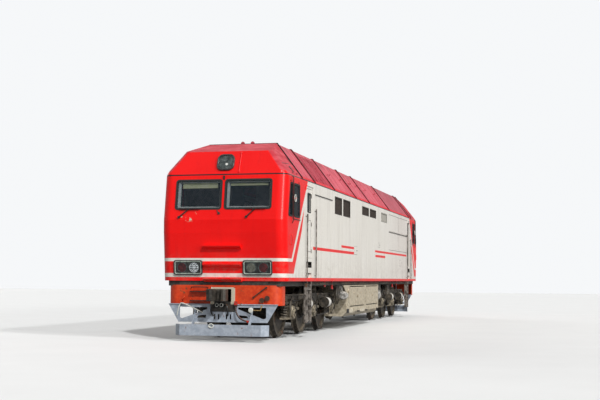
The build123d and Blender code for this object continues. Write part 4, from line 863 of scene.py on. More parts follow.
def bogieBolts(body, place):
    heads = []
    small = []
    z = bogie["axleHeight"]
    for side in (-1, 1):
        out = (0, side, 0)
        cover = sideOn(side, bogie["coverFace"] - 0.001)
        cap = sideOn(side, bogie["capFace"] - 0.001)
        for x in bogie["axles"]:
            heads += ringOf(cover, place(x), z, bogie["coverBolts"], 10, 18, out)
            small += ringOf(cap, place(x), z, bogie["capBolts"], 4, 45, out)
        for x in bogie["cylinders"]:
            for end in (-1, 1):
                lid = endOn(1, place(x + end * (bogie["cylinderHalf"] + 0.010)), 0, 0)
                small += ringOf(lid, side * bogie["cylinderSide"], bogie["cylinderHeight"],
                                bogie["cylinderRadius"] + 0.010, 8, 22.5, (place(end) - place(0), 0, 0))
        heads += [((place(x), side * bogie["plateFace"], high), out) for x in bogie["plateBolts"]
                  for high in bogie["plateRows"]]
    studs(body + "_coverBolts", heads, (0.017, 0.014, 6), boltFinish, body)
    studs(body + "_smallBolts", small, (0.011, 0.010, 6), boltFinish, body)


# Leads, pipes, straps, hooks and sand pipes: points of (away from the thing's middle, side, height)
bogieRuns = {
    "lead": ((0, 1.262, 0.64), (0.02, 1.292, 0.66), (0.09, 1.302, 0.76), (0.15, 1.262, 0.90),
             (0.16, 1.192, 1.01)),
    "plug": [(0.028, 0), (0.028, 0.018), (0.016, 0.024), (0.016, 0.036), (0.001, 0.038)],
    "long": ((-2.55, 1.158, 1.066), (-1.4, 1.158, 1.066), (-0.9, 1.158, 1.060), (0.9, 1.158, 1.060),
             (1.4, 1.158, 1.066), (2.55, 1.158, 1.066)),
    "short": (((-2.30, 1.158, 0.925), (-1.30, 1.158, 0.925)), ((1.30, 1.158, 0.925), (2.30, 1.158, 0.925))),
    "feed": ((-0.06, 1.278, 0.965), (-0.06, 1.278, 1.01), (-0.12, 1.24, 1.05), (-0.16, 1.165, 1.065)),
    "hook": ((0.325, 1.278, 0.585), (0.225, 1.24, 0.545), (-0.10, 1.05, 0.47)),
    "knob": [(0.034, -0.05), (0.034, 0.004), (0.020, 0.010), (0.001, 0.010)],
    "sand": ((0, 0.98, 1.0), (0, 0.90, 0.72), (0, 0.80, 0.45), (-0.04, 0.775, 0.22), (-0.13, 0.76, 0.105)),
    "sandFrom": 2.15 + 0.70}


def bogiePipes(body, place):
    dark, pale = newMeshes(2)

    def run(points, x=0, way=1):
        return [(place(x + way * a), side * y, z) for a, y, z in points]

    for side in (-1, 1):
        for x in bogie["axles"]:  # a sensor lead from each axle cap up to the side frame
            tube(dark, run(bogieRuns["lead"], x), 0.011, 8, 5)
            lathe(dark, sideOn(side, 1.258, place(x), 0.64), 0, 0, bogieRuns["plug"], 14)
            block(dark, place(x - 0.11), place(x - 0.17), side * 1.186, side * 1.222, 0.70, 0.80)
        tube(pale, run(bogieRuns["long"]), 0.014, 8)
        for pipe in bogieRuns["short"]:
            tube(dark, run(pipe), 0.010, 8)
        for x in bogie["cylinders"]:
            way = 1 if x > 0 else -1
            tube(pale, run(bogieRuns["feed"], x, way), 0.012, 8, 4)
            for step in (-0.09, 0.09):  # straps round the barrel
                strap = endOn(1, place(x + step), side * bogie["cylinderSide"], bogie["cylinderHeight"])
                frameRing(pale, strap, circle(0, 0, 0.1345), circle(0, 0, 0.1285), -0.016, 0.016)
            tube(dark, run(bogieRuns["hook"], x, way), 0.018, 8)
            lathe(dark, sideOn(side, 1.300, place(x + way * 0.325), 0.585), 0, 0, bogieRuns["knob"], 14)
        for way in (-1, 1):  # sand pipes in front of the outer wheels
            x = way * bogieRuns["sandFrom"]
            tube(dark, run(bogieRuns["sand"], x, way), 0.019, 10, 5)
            block(dark, place(x - 0.03), place(x + 0.03), side * 0.90, side * 1.0, 0.92, 0.98)
    makePiece(body + "_leads", dark, blackFinish, body=body)
    makePiece(body + "_pipes", pale, gearFinish, body=body)


onBogies(bogieSprings)
onBogies(bogieBolts)
onBogies(bogiePipes)
print("bogies dressed")

# Pipes, clamps and lugs below the body's sill
sill = {"half": 7.55, "side": 1.452, "heights": (1.338, 1.372), "radius": 0.013, "clampPitch": 0.9,
        "drops": ((4.02, 0.80), (4.22, 0.80), (4.42, 0.86), (-3.9, 0.78), (-4.2, 0.84)),
        "drop": ((0, 1.40, 0.48), (0, 1.425, 0.30), (0.06, 1.42, 0.12), (0.02, 1.36, -0.04)),
        "boxes": ((3.92, 4.32, 1.06), (-4.42, -4.06, 1.02))}


def makeSillPipes():
    pipes, clamps = newMeshes(2)
    half = sill["half"]
    count = round(2 * half / sill["clampPitch"])
    for side in (-1, 1):
        for z in sill["heights"]:
            tube(pipes, [(-half, side * sill["side"], z), (half, side * sill["side"], z)], sill["radius"], 8)
        for number in range(count + 1):
            x = -half + 0.04 + (2 * half - 0.08) * number / count
            block(clamps, x - 0.018, x + 0.018, side * 1.402, side * 1.470, 1.318, 1.392)
        for x, z in sill["drops"]:
            tube(pipes, [(x + a, side * y, z + up) for a, y, up in sill["drop"]], 0.016, 8, 5)
        for back, front, foot in sill["boxes"]:
            block(clamps, back, front, side * 1.30, side * 1.40, foot, 1.28)
    makePiece("sillPipes", pipes, gearFinish)
    makePiece("sillClamps", clamps, gearFinish, 0.004)


makeSillPipes()

# Tank: rivets along its seams, straps, sight strips, drain cocks and the dusty plates on its side
tank = {"back": -1.86, "front": 3.27, "side": 1.4605, "rivet": 0.10, "seams": (-1.84, 0.385, 2.94, 3.25),
        "straps": (-1.3, -0.2, 1.0, 2.2), "sights": (0.415, 3.05), "cocks": (-1.55, 0.32, 1.62),
        "cockUp": 0.50,
        "strap": (0.46, 0.61, 0, 0.012), "sight": (0.72, 1.20, 0, 0.014), "slit": (0.76, 1.16, 0.010, 0.018),
        "cover": (2.98, 3.24, 0.48, 0.60, 0, 0.022), "line": 0.60, "column": (0.66, 1.24),
        "plates": ((0.55, 1.20, 0.47, 0.585), (2.35, 2.85, 0.475, 0.59)),
        "cock": [(0.030, 0), (0.030, 0.02), (0.014, 0.024), (0.014, 0.045), (0.022, 0.048), (0.022, 0.060),
                 (0.001, 0.062)]}


def makeTankFittings():
    plates, dark, pale = newMeshes(3)
    rivets = []
    for side in (-1, 1):
        face = sideOn(side, tank["side"])
        out = (0, side, 0)
        start, end = (face(x, tank["line"]) for x in (tank["back"] + 0.02, tank["front"] - 0.02))
        rivets += row(start, end, tank["rivet"], out)
        for x in tank["seams"]:
            start, end = (face(x, z) for z in tank["column"])
            rivets += row(start, end, tank["rivet"], out)
        for x in tank["straps"]:
            slab(plates, face, x - 0.035, x + 0.035, *tank["strap"])
        for limits in tank["plates"]:
            slab(pale, face, *limits, 0, 0.010)
        for x in tank["sights"]:
            slab(pale, face, x - 0.022, x + 0.022, *tank["sight"])
            slab(dark, face, x - 0.008, x + 0.008, *tank["slit"])
        slab(dark, face, *tank["cover"])
        for x in tank["cocks"]:
            lathe(dark, face, x, tank["cockUp"], tank["cock"], 12)
    makePiece("tankStraps", plates, tankFinish, 0.002)
    dusty = worn("dustyPlate", (0.40, 0.35, 0.26), (0.62, 0.57, 0.46), (0.56, 0.49, 0.37), 0.4, 0.1, grit=30.0)
    makePiece("tankStrips", pale, dusty, 0.002)
    makePiece("tankCocks", dark, blackFinish, 0.002)
    studs("tankRivets", rivets, (0.011, 0.006, 8, 0.55), tankFinish, smooth=40.0)


makeTankFittings()

# Battery lids: hinges along the foot, latches and rivets
lids = {"ends": (("front", 0.56, 2.77), ("rear", -1.75, 0.21)), "side": 1.464,
        "hinges": (0.12, 0.38, 0.62, 0.88), "latches": (0.25, 0.75), "pitch": 0.085}


def makeLidTrim():
    for end, low, high in lids["ends"]:
        for label, side in (("left", 1), ("right", -1)):
            body = "battery_lid_" + label + "_" + end
            face = sideOn(side, lids["side"])
            trim = bmesh.new()
            for share in lids["hinges"]:
                x = low + (high - low) * share
                slab(trim, face, x - 0.05, x + 0.05, 0.700, 0.735, -0.002, 0.009)
                rodBetween(trim, face(x - 0.035, 0.702, 0.004), face(x + 0.035, 0.702, 0.004), 0.008)
            for share in lids["latches"]:
                x = low + (high - low) * share
                slab(trim, face, x - 0.055, x + 0.055, 1.04, 1.075, -0.002, 0.010)
                lathe(trim, face, x, 1.057, [(0.017, 0.008), (0.017, 0.022), (0.001, 0.024)], 12)
            makePiece(body + "_hinges", trim, tankFinish, 0.002, body)
            middle = (low + high) / 2
            lines = [(x, 0.78, x, 1.20) for x in (low + 0.04, middle - 0.045, middle + 0.045, high - 0.04)]
            lines += [(low + 0.12, 1.215, middle - 0.12, 1.215), (middle + 0.12, 1.215, high - 0.12, 1.215)]
            rows = []
            for x0, z0, x1, z1 in lines:
                rows += row(face(x0, z0), face(x1, z1), lids["pitch"], (0, side, 0))
            studs(body + "_rivets", rows, (0.008, 0.005, 8, 0.5), tankFinish, body, 40.0)


makeLidTrim()
print("tank dressed")

# Roof: bolt rows beside the joints, small fittings on the cab slope, hatch handles, and a black sheet of
# painted shade behind the intake
roofTrim = {"low": (1.543, 3.956), "high": (0.88, 4.83),
            "rows": ((8.80, 7.56), (5.15, 2.28), (2.16, 0.12), (0.0, -3.63), (-8.33, -8.80)),
            "slot": ((8.98, 0.66), (8.955, 0.66), (8.86, 0.42), (8.885, 0.42)),
            "bar": ((9.27, 0.398), (10.0, 0.330), (10.0, 0.342), (9.27, 0.410)),
            "holes": ((9.43, 0.26, [(0.055, -0.004), (0.055, 0.006), (0.046, 0.008), (0.001, 0.008)], 20),
                      (9.40, 0.17, [(0.040, -0.004), (0.040, 0.005), (0.001, 0.005)], 16),
                      (9.56, 0.095, [(0.022, -0.004), (0.022, 0.006), (0.001, 0.008)], 14),
                      (9.19, 0.095, [(0.022, -0.004), (0.022, 0.006), (0.001, 0.008)], 14)),
            "handles": (4.5, 3.0, 1.6, 0.7, -0.9, -2.6),
            "handle": ((-0.11, -0.004), (-0.11, 0.045), (0.11, 0.045), (0.11, -0.004)),
            "intake": (5.21, 7.50), "margin": 0.08}


def roofSlope(sign):  # across is along the rails, up runs from eave to ridge
    (y0, z0), (y1, z1) = roofTrim["low"], roofTrim["high"]
    run = math.hypot(y1 - y0, z1 - z0)
    return flat((0, sign * y0, z0), (1, 0, 0), (0, sign * (y1 - y0) / run, (z1 - z0) / run),
                (0, sign * (z1 - z0) / run, (y0 - y1) / run)), run


def makeRoofFittings():
    dark, handles = newMeshes(2)
    heads = []
    margin = roofTrim["margin"]
    for sign in (-1, 1):
        place, run = roofSlope(sign)
        aim = place(0, 0, 1) - place(0, 0, 0)
        for joint in roofJoints:
            for step in (-0.028, 0.028):
                heads += row(place(joint + step, 0.05), place(joint + step, run - 0.06), 0.115, aim)
        for start, end in roofTrim["rows"]:
            heads += row(place(start, 0.035), place(end, 0.035), 0.16, aim)
        for way in (1, -1):  # slots and lamp holes on the cab slope
            plate(dark, place, [(way * a, b) for a, b in roofTrim["slot"]], -0.004, 0.003)
            for along, up, profile, sides in roofTrim["holes"]:
                lathe(dark, place, way * along, up, profile, sides)
            plate(dark, place, [(way * a, b) for a, b in roofTrim["bar"]], -0.003, 0.003)
        for along in roofTrim["handles"]:
            tube(handles, [place(along + step, 0.62, out) for step, out in roofTrim["handle"]], 0.009, 8)
        # A black sheet under the intake is painted shade behind its slats
        slab(dark, place, roofTrim["intake"][0] + margin, roofTrim["intake"][1] - margin, margin, run - margin,
             -0.075, -0.045)
    studs("roofBolts", heads, (0.013, 0.008, 6), roofFinish)
    makePiece("roofOpeningsAndIntakeShade", dark, blackFinish)
    makePiece("roofHandles", handles, roofFinish)


makeRoofFittings()
print("roof dressed")

# Nose and coupling end: uncoupling lever, tail disc, air taps and hoses, treads, bracket between the screens,
# conduit over the brow and black wiper arms; paths are given for the front end
endRuns = {
    "lever": ((10.36, -1.12, 0.60), (10.37, -1.085, 0.74), (10.365, -1.03, 0.885), (10.36, -0.90, 0.862),
              (10.355, -0.70, 0.775), (10.35, -0.48, 0.672)),
    "bearers": ((-1.03, 0.885), (-0.52, 0.690)),
    "hook": ((10.345, -1.03, 0.90), (10.35, -1.02, 0.96), (10.36, -0.985, 1.00), (10.35, -0.955, 1.04),
             (10.30, -0.965, 1.06)),
    "stem": ((10.392, 0.72, 0.745), (10.392, 0.955, 0.735), (10.302, 0.955, 0.835)),
    "hoses": (((10.33, -0.17, 0.86), (10.38, -0.23, 0.84), (10.37, -0.27, 0.73), (10.33, -0.25, 0.64),
               (10.315, -0.22, 0.60)),
              ((10.33, 0.06, 0.86), (10.38, 0.13, 0.82), (10.375, 0.15, 0.72), (10.33, 0.14, 0.63),
               (10.315, 0.12, 0.60))),
    "loop": ((10.30, -0.78, 1.255), (10.375, -0.77, 1.27), (10.375, -0.60, 1.275), (10.375, -0.38, 1.27),
             (10.30, -0.37, 1.255))}
endTurned = {"bearer": [(0.030, -0.004), (0.030, 0.010), (0.018, 0.014), (0.001, 0.014)],
             "disc": [(0.052, 0), (0.060, 0.004), (0.060, 0.014), (0.050, 0.018), (0.001, 0.018)],
             "stemFoot": [(0.026, 0), (0.026, 0.010), (0.001, 0.012)],
             "tap": [(0.052, 0), (0.052, 0.05), (0.040, 0.055), (0.040, 0.075), (0.030, 0.075), (0.028, 0.040),
                     (0.001, 0.038)], "screw": [(0.013, 0.028), (0.013, 0.044), (0.001, 0.046)]}
endSizes = {"disc": (10.385, 0.72, 0.745), "stemFoot": (10.300, 0.955, 0.838), "ring": (10.505, -0.21, 0.372),
            "ringHalf": (0.055, 0.045), "bracket": (10.283, 0, 3.90), "face": 10.320, "tapUp": 0.855,
            "taps": (-0.115, 0.0), "slatFrom": -0.765, "slats": 6, "slatPitch": 0.072, "conduit": 0.36,
            "conduitClips": (0.06, 0.32, 0.56), "wipers": ((-1.08, 0.26), (0.60, 0.22))}


def makeEndFittings():
    pale, dark, hooks, brass, orange, grips = newMeshes(6)
    for sign in (1, -1):
        screen, brow = noseFaces(sign)[1:]
        tube(pale, atEnd(endRuns["lever"], sign), 0.0125, 8, 4)
        for y, z in endRuns["bearers"]:
            rodBetween(pale, *atEnd(((10.30, y, z), (10.365, y, z)), sign), 0.012)
            lathe(dark, endOn(sign, 10.3095, y, z), 0, 0, endTurned["bearer"], 14)
        tube(hooks, atEnd(endRuns["hook"], sign), 0.014, 8, 5)
        lathe(pale, endOn(sign, *endSizes["disc"]), 0, 0, endTurned["disc"], 22)
        stem = atEnd(endRuns["stem"], sign)
        rodBetween(brass, stem[0], stem[1], 0.011)
        rodBetween(brass, stem[1], stem[2], 0.011)
        lathe(brass, endOn(sign, *endSizes["stemFoot"]), 0, 0, endTurned["stemFoot"], 12)
        ring = endOn(sign, *endSizes["ring"])
        wide, tall = endSizes["ringHalf"]
        turns = [math.radians(15 * number) for number in range(25)]
        tube(pale, [ring(wide * math.cos(a), tall * math.sin(a), 0.012) for a in turns], 0.012, 8)
        block(pale, sign * 10.50, sign * 10.519, -0.285, -0.215, 0.34, 0.36)
        for y in endSizes["taps"]:  # the two air taps under the coupler
            tap = endOn(sign, endSizes["face"], y, endSizes["tapUp"])
            lathe(dark, tap, 0, 0, endTurned["tap"], 18)
            frameRing(pale, tap, circle(0, 0, 0.043, 18), circle(0, 0, 0.033, 18), 0.070, 0.080)
        for hose in endRuns["hoses"]:
            tube(dark, atEnd(hose, sign), 0.019, 10, 5)
        tube(orange, atEnd(endRuns["loop"], sign), 0.011, 8)
        for number in range(endSizes["slats"]):  # slats of the lower tread
            y = endSizes["slatFrom"] + number * endSizes["slatPitch"]
            block(hooks, sign * 10.305, sign * 10.392, y, y + 0.030, 0.9605, 0.9665)
        bracket = endOn(sign, *endSizes["bracket"])
        slab(dark, bracket, -0.022, 0.022, -0.085, 0.010, -0.002, 0.030)
        lathe(dark, bracket, 0.0, -0.045, endTurned["screw"], 10)
        slab(dark, screen, *((-0.115, -0.06) if sign > 0 else (0.06, 0.115)), 0.125, 0.175, -0.002, 0.020)
        rodBetween(dark, screen(-0.085 * sign, 0.15, 0.012), screen(-0.135 * sign, 0.225, 0.014), 0.009)
        conduit = endSizes["conduit"] * sign
        rodBetween(grips, brow(conduit, 0.035, 0.008), brow(conduit, 0.585, 0.008), 0.010)
        for up in endSizes["conduitClips"]:
            slab(grips, brow, conduit - 0.022, conduit + 0.022, up - 0.010, up + 0.010, -0.002, 0.016)
        for foot, reach in endSizes["wipers"]:  # black arm and rubber over each wiper
            tip = sign * (foot + reach)
            rodBetween(dark, screen(sign * foot, 0.06, 0.034), screen(tip, 0.262, 0.036), 0.015, 10, 0.011)
            slab(dark, screen, tip - 0.25, tip + 0.25, 0.247, 0.277, 0.020, 0.046)
    makePiece("uncouplingRods", pale, paleFinish)
    makePiece("endDarkFittings", dark, blackFinish, 0.002)
    makePiece("leverHooks", hooks, apronFinish)
    makePiece("discStems", brass, brassFinish)
    makePiece("treadLoops", orange, blackFinish)
    makePiece("noseGrips", grips, bodyFinish)


makeEndFittings()

# Cab sides: wind deflector, mirror with a painted red reflection on its glass, window hinges and rail, grab
# handle
cabSide = {
    "stay": ((9.80, 1.546, 3.92), (9.80, 1.575, 3.90), (9.80, 1.578, 3.45), (9.80, 1.578, 2.86),
             (9.80, 1.546, 2.80)),
    "blade": ((9.745, 2.92), (9.80, 2.90), (9.80, 3.86), (9.745, 3.84)), "bladeSide": 1.562,
    "arm": ((9.72, 1.546, 3.47), (9.68, 1.565, 3.47), (9.63, 1.572, 3.44)),
    "mirror": [(0.001, -0.010), (0.075, -0.010), (0.092, 0.000), (0.092, 0.010), (0.080, 0.013),
               (0.072, 0.008), (0.072, 0.004), (0.001, 0.004)],
    "mirrorGlass": [(0.070, 0.004), (0.068, 0.007), (0.001, 0.010)],
    "mirrorRedReflection": [(0.024, 0.0095), (0.022, 0.012), (0.001, 0.013)],
    "handle": ((9.90, 1.543, 2.52), (9.90, 1.578, 2.50), (9.895, 1.582, 2.40), (9.90, 1.578, 2.30),
               (9.90, 1.543, 2.28)),
    "mirrorAt": (9.625, 1.574, 3.405), "pins": (9.20, 9.95), "pinHeight": (3.79, 3.815),
    "rail": ((9.07, 1.552, 2.905), (9.66, 1.552, 2.905))}


def makeCabSides():
    dark, pale, glass, red = newMeshes(4)
    for sign in (1, -1):
        for side in (-1, 1):
            tube(dark, atEnd(cabSide["stay"], sign, side), 0.011, 8)
            plate(dark, sideOn(side, cabSide["bladeSide"], way=sign), cabSide["blade"], 0.004, 0.010)
            tube(dark, atEnd(cabSide["arm"], sign, side), 0.009, 8, 4)
            x, y, z = cabSide["mirrorAt"]
            mirror = sideOn(side, y, sign * x, z, sign)
            lathe(pale, mirror, 0, 0, cabSide["mirror"], 26)
            lathe(glass, mirror, 0, 0, cabSide["mirrorGlass"], 22)
            # A red disc on each mirror's glass is a painted reflection of the red cab
            lathe(red, mirror, -0.01, -0.005, cabSide["mirrorRedReflection"], 14)
            tube(red, atEnd(cabSide["handle"], sign, side), 0.012, 8, 4)
            for x in cabSide["pins"]:
                block(dark, sign * (x - 0.02), sign * (x + 0.02), side * 1.540, side * 1.556,
                      *cabSide["pinHeight"])
            rodBetween(dark, *atEnd(cabSide["rail"], sign, side), 0.010)
    makePiece("cabSideBars", dark, blackFinish)
    makePiece("cabMirrors", pale, paleFinish)
    makePiece("mirrorGlass", glass, glassFinish)
    makePiece("cabSideHandlesAndMirrorReflections", red, redFinish)


makeCabSides()

# Side walls: hatch covers, gutters, dark strips of painted shade along the panel seams, drip strips over the
# doors, treads and screws
sideTrim = {"face": 1.5432, "hatches": ((2.05, 2.52, 2.23, 2.47), (-1.79, -1.45, 2.57, 2.71),
                                        (-6.35, -5.93, 2.00, 2.22)),
            "gutters": ((5.56, 7.54, 3.64), (-7.75, -3.58, 3.172)),
            "seams": ((-7.79, -3.58, 3.800), (-7.79, -3.58, 2.530)), "upright": (-5.585, 2.53, 3.80),
            "drip": ((-0.36, 3.70, 0.006), (-0.345, 3.785, 0.009), (-0.28, 3.815, 0.009), (0.28, 3.815, 0.009),
                     (0.345, 3.785, 0.009), (0.36, 3.70, 0.006)),
            "doors": (8.135, -8.135), "treads": (1.60, 1.80),
            "screwRows": ((5.30, 7.40), (2.40, 5.10), (-3.55, 0.0), (-7.4, -3.80)),
            "screwHeights": (1.652, 3.90), "screwPitch": 0.24, "line": 0.0015,
            "grip": ((0.10, 0.004), (0.10, 0.024), (0.19, 0.024), (0.19, 0.004))}


def makeSideTrim():
    shell, dark = newMeshes(2)
    screws = []
    for side in (-1, 1):
        face = sideOn(side, sideTrim["face"])
        out = (0, side, 0)
        for x0, x1, z0, z1 in sideTrim["hatches"]:
            a, b, w, h = (x0 + x1) / 2, (z0 + z1) / 2, x1 - x0, z1 - z0
            plate(shell, face, roundedBox(a, b, w, h, 0.025), -0.001, 0.006)
            boxRing(dark, face, a, b, w + 0.014, h + 0.014, 0.013, (0.03, 0.025), -0.001, sideTrim["line"])
            screws += [(face(x, z, 0.005), out) for x in (x0 + 0.03, x1 - 0.03)
                       for z in (z0 + 0.03, z1 - 0.03)]
            tube(dark, [face(x0 + step, b, rise) for step, rise in sideTrim["grip"]], 0.006, 8)
        for back, front, z in sideTrim["gutters"]:
            slab(dark, face, back, front, z, z + 0.018, -0.001, 0.020)
        # The dark strips along the panel seams and the upright seam are painted shade in the joints
        for back, front, z in sideTrim["seams"]:
            slab(dark, face, back, front, z, z + 0.009, -0.001, sideTrim["line"])
        x, z0, z1 = sideTrim["upright"]
        slab(dark, face, x - 0.009, x + 0.009, z0, z1, -0.001, sideTrim["line"])
        for middle in sideTrim["doors"]:
            tube(shell, [face(middle + step, z, rise) for step, z, rise in sideTrim["drip"]], 0.010, 8)
            for z in sideTrim["treads"]:  # in the step pocket under the door
                slab(dark, face, middle - 0.20, middle + 0.20, z, z + 0.014, -0.030, 0.0)
        for x0, x1 in sideTrim["screwRows"]:
            for z in sideTrim["screwHeights"]:
                screws += row(face(x0, z, 0), face(x1, z, 0), sideTrim["screwPitch"], out)
    makePiece("sideHatches", shell, bodyFinish, 0.002)
    makePiece("sideGuttersAndSeamShade", dark, blackFinish)
    studs("sideScrews", screws, (0.008, 0.0035, 8, 0.6), bodyFinish, smooth=40.0)


makeSideTrim()

# Doors: handle, lower pull, window rim, lock plate, hinges and panel, as on the front left leaf
doors = {"hinge": (7.860, 1.500), "outer": 1.535, "window": (8.135, 3.395, 0.34, 0.47), "lock": 8.33,
         "leaves": (("door_front_left", 1, 1, False), ("door_front_right", 1, -1, False),
                    ("door_rear_left", -1, 1, True), ("door_rear_right", -1, -1, False)),
         "handle": ((2.90, -0.002), (2.90, 0.026), (3.02, 0.030), (3.10, 0.026), (3.10, -0.002)),
         "pull": ((2.30, -0.002), (2.30, 0.024), (2.44, 0.024), (2.44, -0.002)), "hinges": (2.18, 2.86, 3.58)}


def doorPlace(sign, side, opened):
    hingeX, hingeY = doors["hinge"]

    def place(a, b, c=0.0):
        x, y = a, doors["outer"] + c
        if opened:  # a quarter turn about the hinge, inwards
            x, y = hingeX + (y - hingeY), hingeY - (x - hingeX)
        return Vector((sign * x, side * y, b))

    return place


def makeDoors():
    for body, sign, side, opened in doors["leaves"]:
        outward = doorPlace(sign, side, opened)
        metal, rubber = newMeshes(2)
        x, z, w, h = doors["window"]
        boxRing(rubber, outward, x, z, w + 0.03, h + 0.03, 0.042, (0.045, 0.03), -0.004, 0.006)
        lock = doors["lock"]
        tube(metal, [outward(lock, up, rise) for up, rise in doors["handle"]], 0.009, 8)
        slab(metal, outward, lock - 0.025, lock + 0.025, 2.80, 2.875, -0.002, 0.006)
        lathe(metal, outward, lock, 2.84, [(0.014, 0.004), (0.014, 0.020), (0.001, 0.022)], 12)
        rodBetween(metal, outward(lock, 2.84, 0.018), outward(8.245, 2.835, 0.022), 0.007)
        tube(metal, [outward(lock, up, rise) for up, rise in doors["pull"]], 0.008, 8)
        for up in doors["hinges"]:
            slab(metal, outward, 7.862, 7.93, up - 0.05, up + 0.05, -0.002, 0.0045)
        boxRing(metal, outward, x, 2.56, 0.40, 0.80, 0.024, (0.03, 0.022), -0.002, 0.003)
        makePiece(body + "_fittings", metal, railFinish, body=body)
        makePiece(body + "_windowRim", rubber, rubberFinish, body=body)


makeDoors()
print("sides and doors dressed")

# Cab seats: cushions blown up as cloth, on posts; sizes are half widths from the seat's middle
seat = {"places": ((9.18, 0.68), (9.18, -0.68), (-9.18, 0.68), (-9.18, -0.68)), "pad": (0.222, 0.222, 0.044),
        "padHeight": 2.458, "back": (0.046, 0.205, 0.335), "backAhead": -0.23, "backHeight": 2.85, "lean": 8.0,
        "voxel": 0.012, "pressure": 4.0, "swell": 0.012, "frames": 20, "channel": 0.33,
        "post": [(0.001, 2.001), (0.17, 2.001), (0.17, 2.012), (0.062, 2.03), (0.055, 2.05), (0.055, 2.22),
                 (0.045, 2.225), (0.045, 2.385), (0.10, 2.392), (0.10, 2.404), (0.001, 2.404)],
        "layers": ((0.90, -1.0), (1.0, -0.6), (1.0, 0.6), (0.90, 1.0))}


def blownCushion(name, half):
    bm = bmesh.new()
    a, b, c = half
    outline = roundedBox(0, 0, 2 * a, 2 * b, min(a, b) * 0.35, 6)
    skin(bm, [[ground(x * share, y * share, up * c) for x, y in outline] for share, up in seat["layers"]])
    bmesh.ops.recalc_face_normals(bm, faces=bm.faces)
    mesh = bpy.data.meshes.new(name)
    bm.to_mesh(mesh)
    bm.free()
    cushion = link(bpy.data.objects.new(name, mesh))
    remesh = cushion.modifiers.new("evenMesh", "REMESH")
    remesh.mode = "VOXEL"
    remesh.voxel_size = seat["voxel"]
    bpy.context.view_layer.update()
    even = evaluated(cushion)
    cushion.modifiers.remove(remesh)
    cushion.data = even
    before = [v.co.copy() for v in even.vertices]
    cloth = cushion.modifiers.new("stuffing", "CLOTH")
    cloth.settings.effector_weights.gravity = 0
    cloth.settings.use_pressure = True
    cloth.settings.uniform_pressure_force = seat["pressure"]
    cloth.settings.quality = 6
    cloth.point_cache.frame_end = seat["frames"]
    for number in range(1, seat["frames"] + 1):
        bpy.context.scene.frame_set(number)
    blown = evaluated(cushion)
    cushion.modifiers.remove(cloth)
    cushion.data = blown
    bpy.context.scene.frame_set(1)
    for vertex, start in zip(blown.vertices, before):
        move = vertex.co - start
        if move.length > seat["swell"]:
            vertex.co = start + move.normalized() * seat["swell"]
    mesh = cushion.data
    thin = min(range(3), key=lambda axis: half[axis])
    wide = [axis for axis in range(3) if axis != thin]
    for vertex in mesh.vertices:  # sewn channels across both broad faces, and a crown between them
        u = vertex.co[wide[0]] / half[wide[0]]
        v = vertex.co[wide[1]] / half[wide[1]]
        groove = math.exp(-((abs(u if wide[0] == 0 else v) - seat["channel"]) / 0.035) ** 2)
        crown = (1 - min(1, u * u)) * (1 - min(1, v * v))
        way = 1 if vertex.co[thin] > 0 else -1
        if abs(vertex.co[thin]) > half[thin] * 0.6:
            vertex.co[thin] += way * (0.006 * crown - 0.005 * groove)
    mesh.shade_smooth()
    bpy.data.objects.remove(cushion)
    return mesh


def seatCloth():
    material, surface, at = startFinish("seatCloth", rough=0.85, gloss=0.2, sheen=0.25)
    x, y, z = axes(at)
    weave = both(sums("SINE", both(sums("ADD", x, z), 1900.0)), sums("SINE", both(y, 1900.0)))
    colour = tint(ease(grain(at, 9.0, 5.0, 0.6), 0.35, 0.7), (0.045, 0.055, 0.085), (0.10, 0.11, 0.14))
    paint(surface, colour=tint(ease(weave, -0.4, 0.8, 0.0, 0.4), colour, (0.16, 0.17, 0.19)))
    relief(surface, weave, 0.0004, 0.6)
    return material


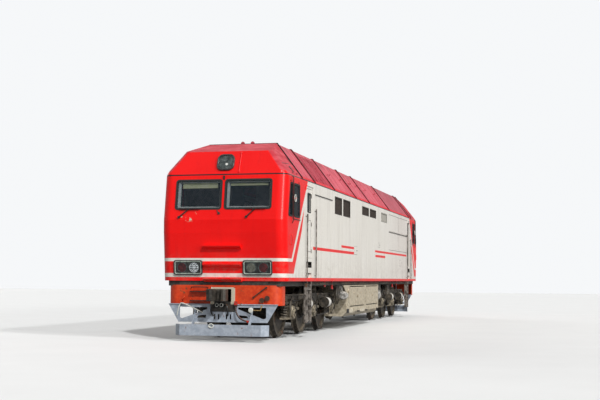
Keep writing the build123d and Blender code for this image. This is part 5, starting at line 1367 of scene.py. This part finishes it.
def makeSeats():
    pad = blownCushion("seatPad", seat["pad"])
    back = blownCushion("seatBack", seat["back"])
    cloth = seatCloth()
    posts = bmesh.new()
    for number, (x, y) in enumerate(seat["places"], 1):
        way = 1 if x > 0 else -1
        for kind, mesh, place, turn in (("Pad", pad, (x, y, seat["padHeight"]), 0.0),
                                        ("Back", back, (x + way * seat["backAhead"], y, seat["backHeight"]),
                                         -way * seat["lean"])):
            copy = mesh.copy()
            copy.transform(Matrix.Translation(place) @ Matrix.Rotation(math.radians(turn), 4, "Y"))
            copy.materials.clear()
            copy.materials.append(cloth)
            cushion = bpy.data.objects.new("seat" + kind + str(number), copy)
            finer = cushion.modifiers.new("finer", "SUBSURF")
            finer.levels = 1
            finer.render_levels = 1
            settle(cushion, "body")
            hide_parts("cab_seats")
        foot = upright(x, y)
        lathe(posts, foot, 0, 0, seat["post"], 20)
        slab(posts, foot, -0.19, 0.19, -0.19, 0.19, 2.400, 2.412)
        for step in (-0.10, 0.10):
            rodBetween(posts, (x - way * 0.17, y + step, 2.405), (x - way * 0.255, y + step, 2.62), 0.014)
    makePiece("seatPosts", posts, blackFinish)


makeSeats()

# Driver's desk: instrument hoods, dials and levers at each end
desk = {"hoods": (-0.62, 0.0, 0.62), "hood": ((9.86, 2.955), (10.06, 2.955), (10.06, 3.02), (9.93, 3.075)),
        "halfHood": 0.22, "face": (9.895, 3.015), "tilt": (0.504, 0.864), "foot": 2.955, "head": 3.075,
        "dials": (-0.14, 0.0, 0.14), "levers": ((0.35, 9.74), (-0.35, 9.74), (0.95, 9.76), (-0.95, 9.76)),
        "dial": [(0.045, -0.004), (0.045, 0.008), (0.038, 0.010), (0.036, 0.006), (0.001, 0.006)],
        "knob": [(0.010, 0), (0.024, 0.012), (0.024, 0.026), (0.012, 0.036), (0.001, 0.038)]}


def makeDesks():
    hoods, dials, knobs = newMeshes(3)
    foot, head = desk["foot"], desk["head"]
    rise, run = desk["tilt"]
    ahead, up = desk["face"]
    for sign in (1, -1):
        for y in desk["hoods"]:
            top = upright(0, y, 0, sign)
            skin(hoods, [[top(a, b, c) for a, c in desk["hood"]]
                         for b in (-desk["halfHood"], desk["halfHood"])])
            tilt = flat((sign * ahead, y, up), (0, 1, 0), (sign * rise, 0, run), (-sign * run, 0, rise))
            for step in desk["dials"]:
                lathe(dials, tilt, step, 0.005, desk["dial"], 20)
        for y, x in desk["levers"]:
            rodBetween(knobs, (sign * x, y, foot), (sign * (x - 0.02), y, head), 0.009)
            lathe(knobs, upright(sign * (x - 0.02), y, head), 0, 0, desk["knob"], 14)
    makePiece("deskHoods", hoods, deskFinish, 0.004)
    makePiece("deskDials", dials, paleFinish)
    makePiece("deskKnobs", knobs, blackFinish)


makeDesks()
print("cabs furnished")
